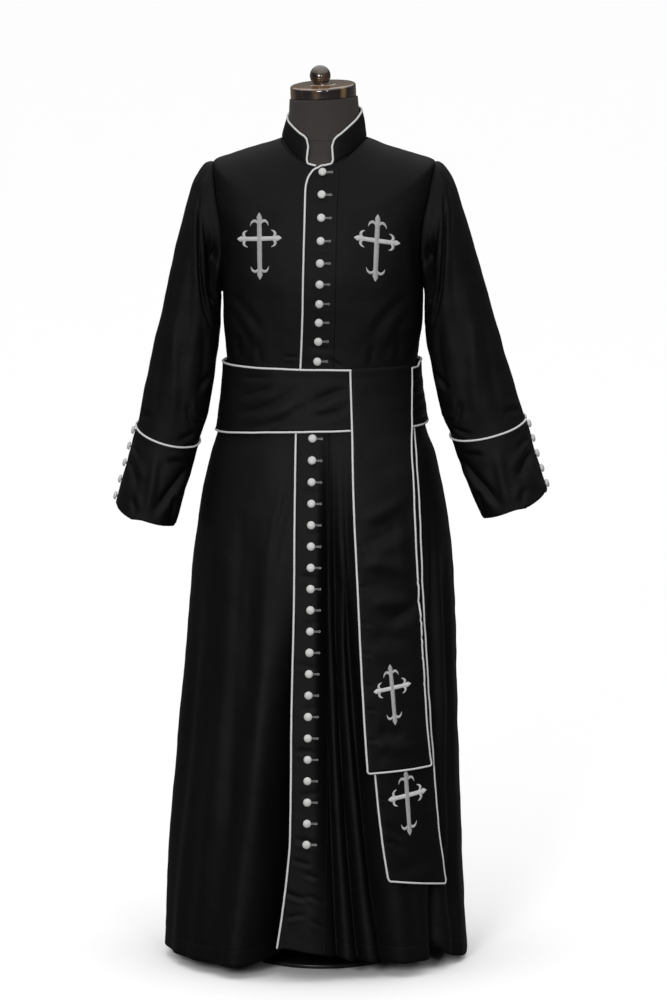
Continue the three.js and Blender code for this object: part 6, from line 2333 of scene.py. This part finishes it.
def studio():
    sky()
    for name, facts in LIGHTS.items():
        area_light(name, *facts)
    floor = studio_floor()
    floor.location.z = cad_box[0][2] - UNDER_BASE
    floor.data.materials.append(pale_floor())
    bpy.context.scene.view_settings.view_transform = "Standard"


# ---------- the whole robe ----------


def settled(piece, material, slot, *nodes):
    """Gives a piece its finish and its place in the frame."""
    piece.data.materials.append(material)
    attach(piece, "root")
    if nodes:
        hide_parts(*nodes)
    return piece


# What each sheet was cut to, in metres: width, length and flat area; how it is held, and what
# it lies on or hangs from.
SHEETS = [
    ("bodice_front_right", 0.29, 0.46, 0.103, "hung", ["jersey_form_body"]),
    ("bodice_front_left", 0.29, 0.46, 0.1045, "hung", ["jersey_form_body"]),
    ("bodice_back", 0.5, 0.5, 0.207, "hung", ["jersey_form_body"]),
    ("skirt_front_right", 0.5, 1.1, 0.413, "hung", ["cloth_bodice_front_right"]),
    ("skirt_front_left", 0.5, 1.1, 0.403, "hung", ["cloth_bodice_front_left"]),
    ("skirt_back", 0.95, 1.1, 0.827, "hung", ["cloth_bodice_back"]),
    ("placket", 0.062, 1.5, 0.092, "laid", ["cloth_bodice_front_right", "cloth_skirt_front_right"]),
    ("collar", 0.42, 0.055, 0.019, "stretched", ["cloth_bodice_back"]),
    ("sleeve_right", 0.46, 0.56, 0.1635, "hung", ["cloth_bodice_front_right", "cloth_bodice_back"]),
    ("sleeve_left", 0.46, 0.56, 0.168, "hung", ["cloth_bodice_front_left", "cloth_bodice_back"]),
    ("cuff_right", 0.39, 0.16, 0.056, "hung", ["cloth_sleeve_right"]),
    ("cuff_left", 0.39, 0.16, 0.058, "hung", ["cloth_sleeve_left"]),
    ("sash_band", 1.13, 0.127, 0.12, "draped", ["cloth_bodice_front_right", "cloth_skirt_back"]),
    ("tail_front", 0.112, 0.93, 0.104, "hung", ["cloth_sash_band"]),
    ("tail_rear", 0.112, 1.04, 0.116, "hung", ["cloth_sash_band"]),
]


def add_cloth():
    suiting = black_suiting()
    pieces = [*bodice(), *skirt_panels(), placket(), collar(), band(), tail("front"), tail("rear")]
    for side in ARMS:
        pieces += [sleeve(side), cuff(side)]
    for piece in pieces:
        settled(piece, suiting, "robe_cloth", piece.name.removeprefix("cloth_"))
    settled(topstitching(), black_thread(), "robe_cloth")
    for name, width, length, area, held, under in SHEETS:
        piece = bpy.data.objects[f"cloth_{name}"]


def add_piping():
    satin = white_piping_satin()
    pieces = [front_piping(), band_piping(), tail_piping("front"), tail_piping("rear")]
    pieces += [cuff_piping(side) for side in ARMS]
    for piece in pieces:
        settled(piece, satin, "piping", "piping_" + piece.name.removeprefix("piping_of_"))


def add_buttons():
    satin = button_satin()
    for i, piece in enumerate(front_buttons()):
        settled(piece, satin, "button_cloth", f"button_{i + 1:02d}")
    for side in ARMS:
        settled(cuff_buttons(side), satin, "button_cloth", f"cuff_buttons_{side}")
    settled(buttonholes(), buttonhole_thread(), "button_cloth")


def add_crosses():
    silk = embroidery_silk()
    for name in CROSSES:
        settled(embroidered_cross(name), silk, "embroidery", name)


def add_dress_form():
    jersey = form_jersey()
    settled(form_body(), jersey, "form_jersey", "form_body")
    settled(neck_seam(), jersey, "form_jersey")
    settled(form_cap(), lacquered_wood(), "form_cap", "form_neck_cap")
    settled(form_stand(), satin_black_metal(), "stand_metal", "form_stand")


set_camera()
studio()
add_dress_form()
add_cloth()
add_piping()
add_buttons()
add_crosses()
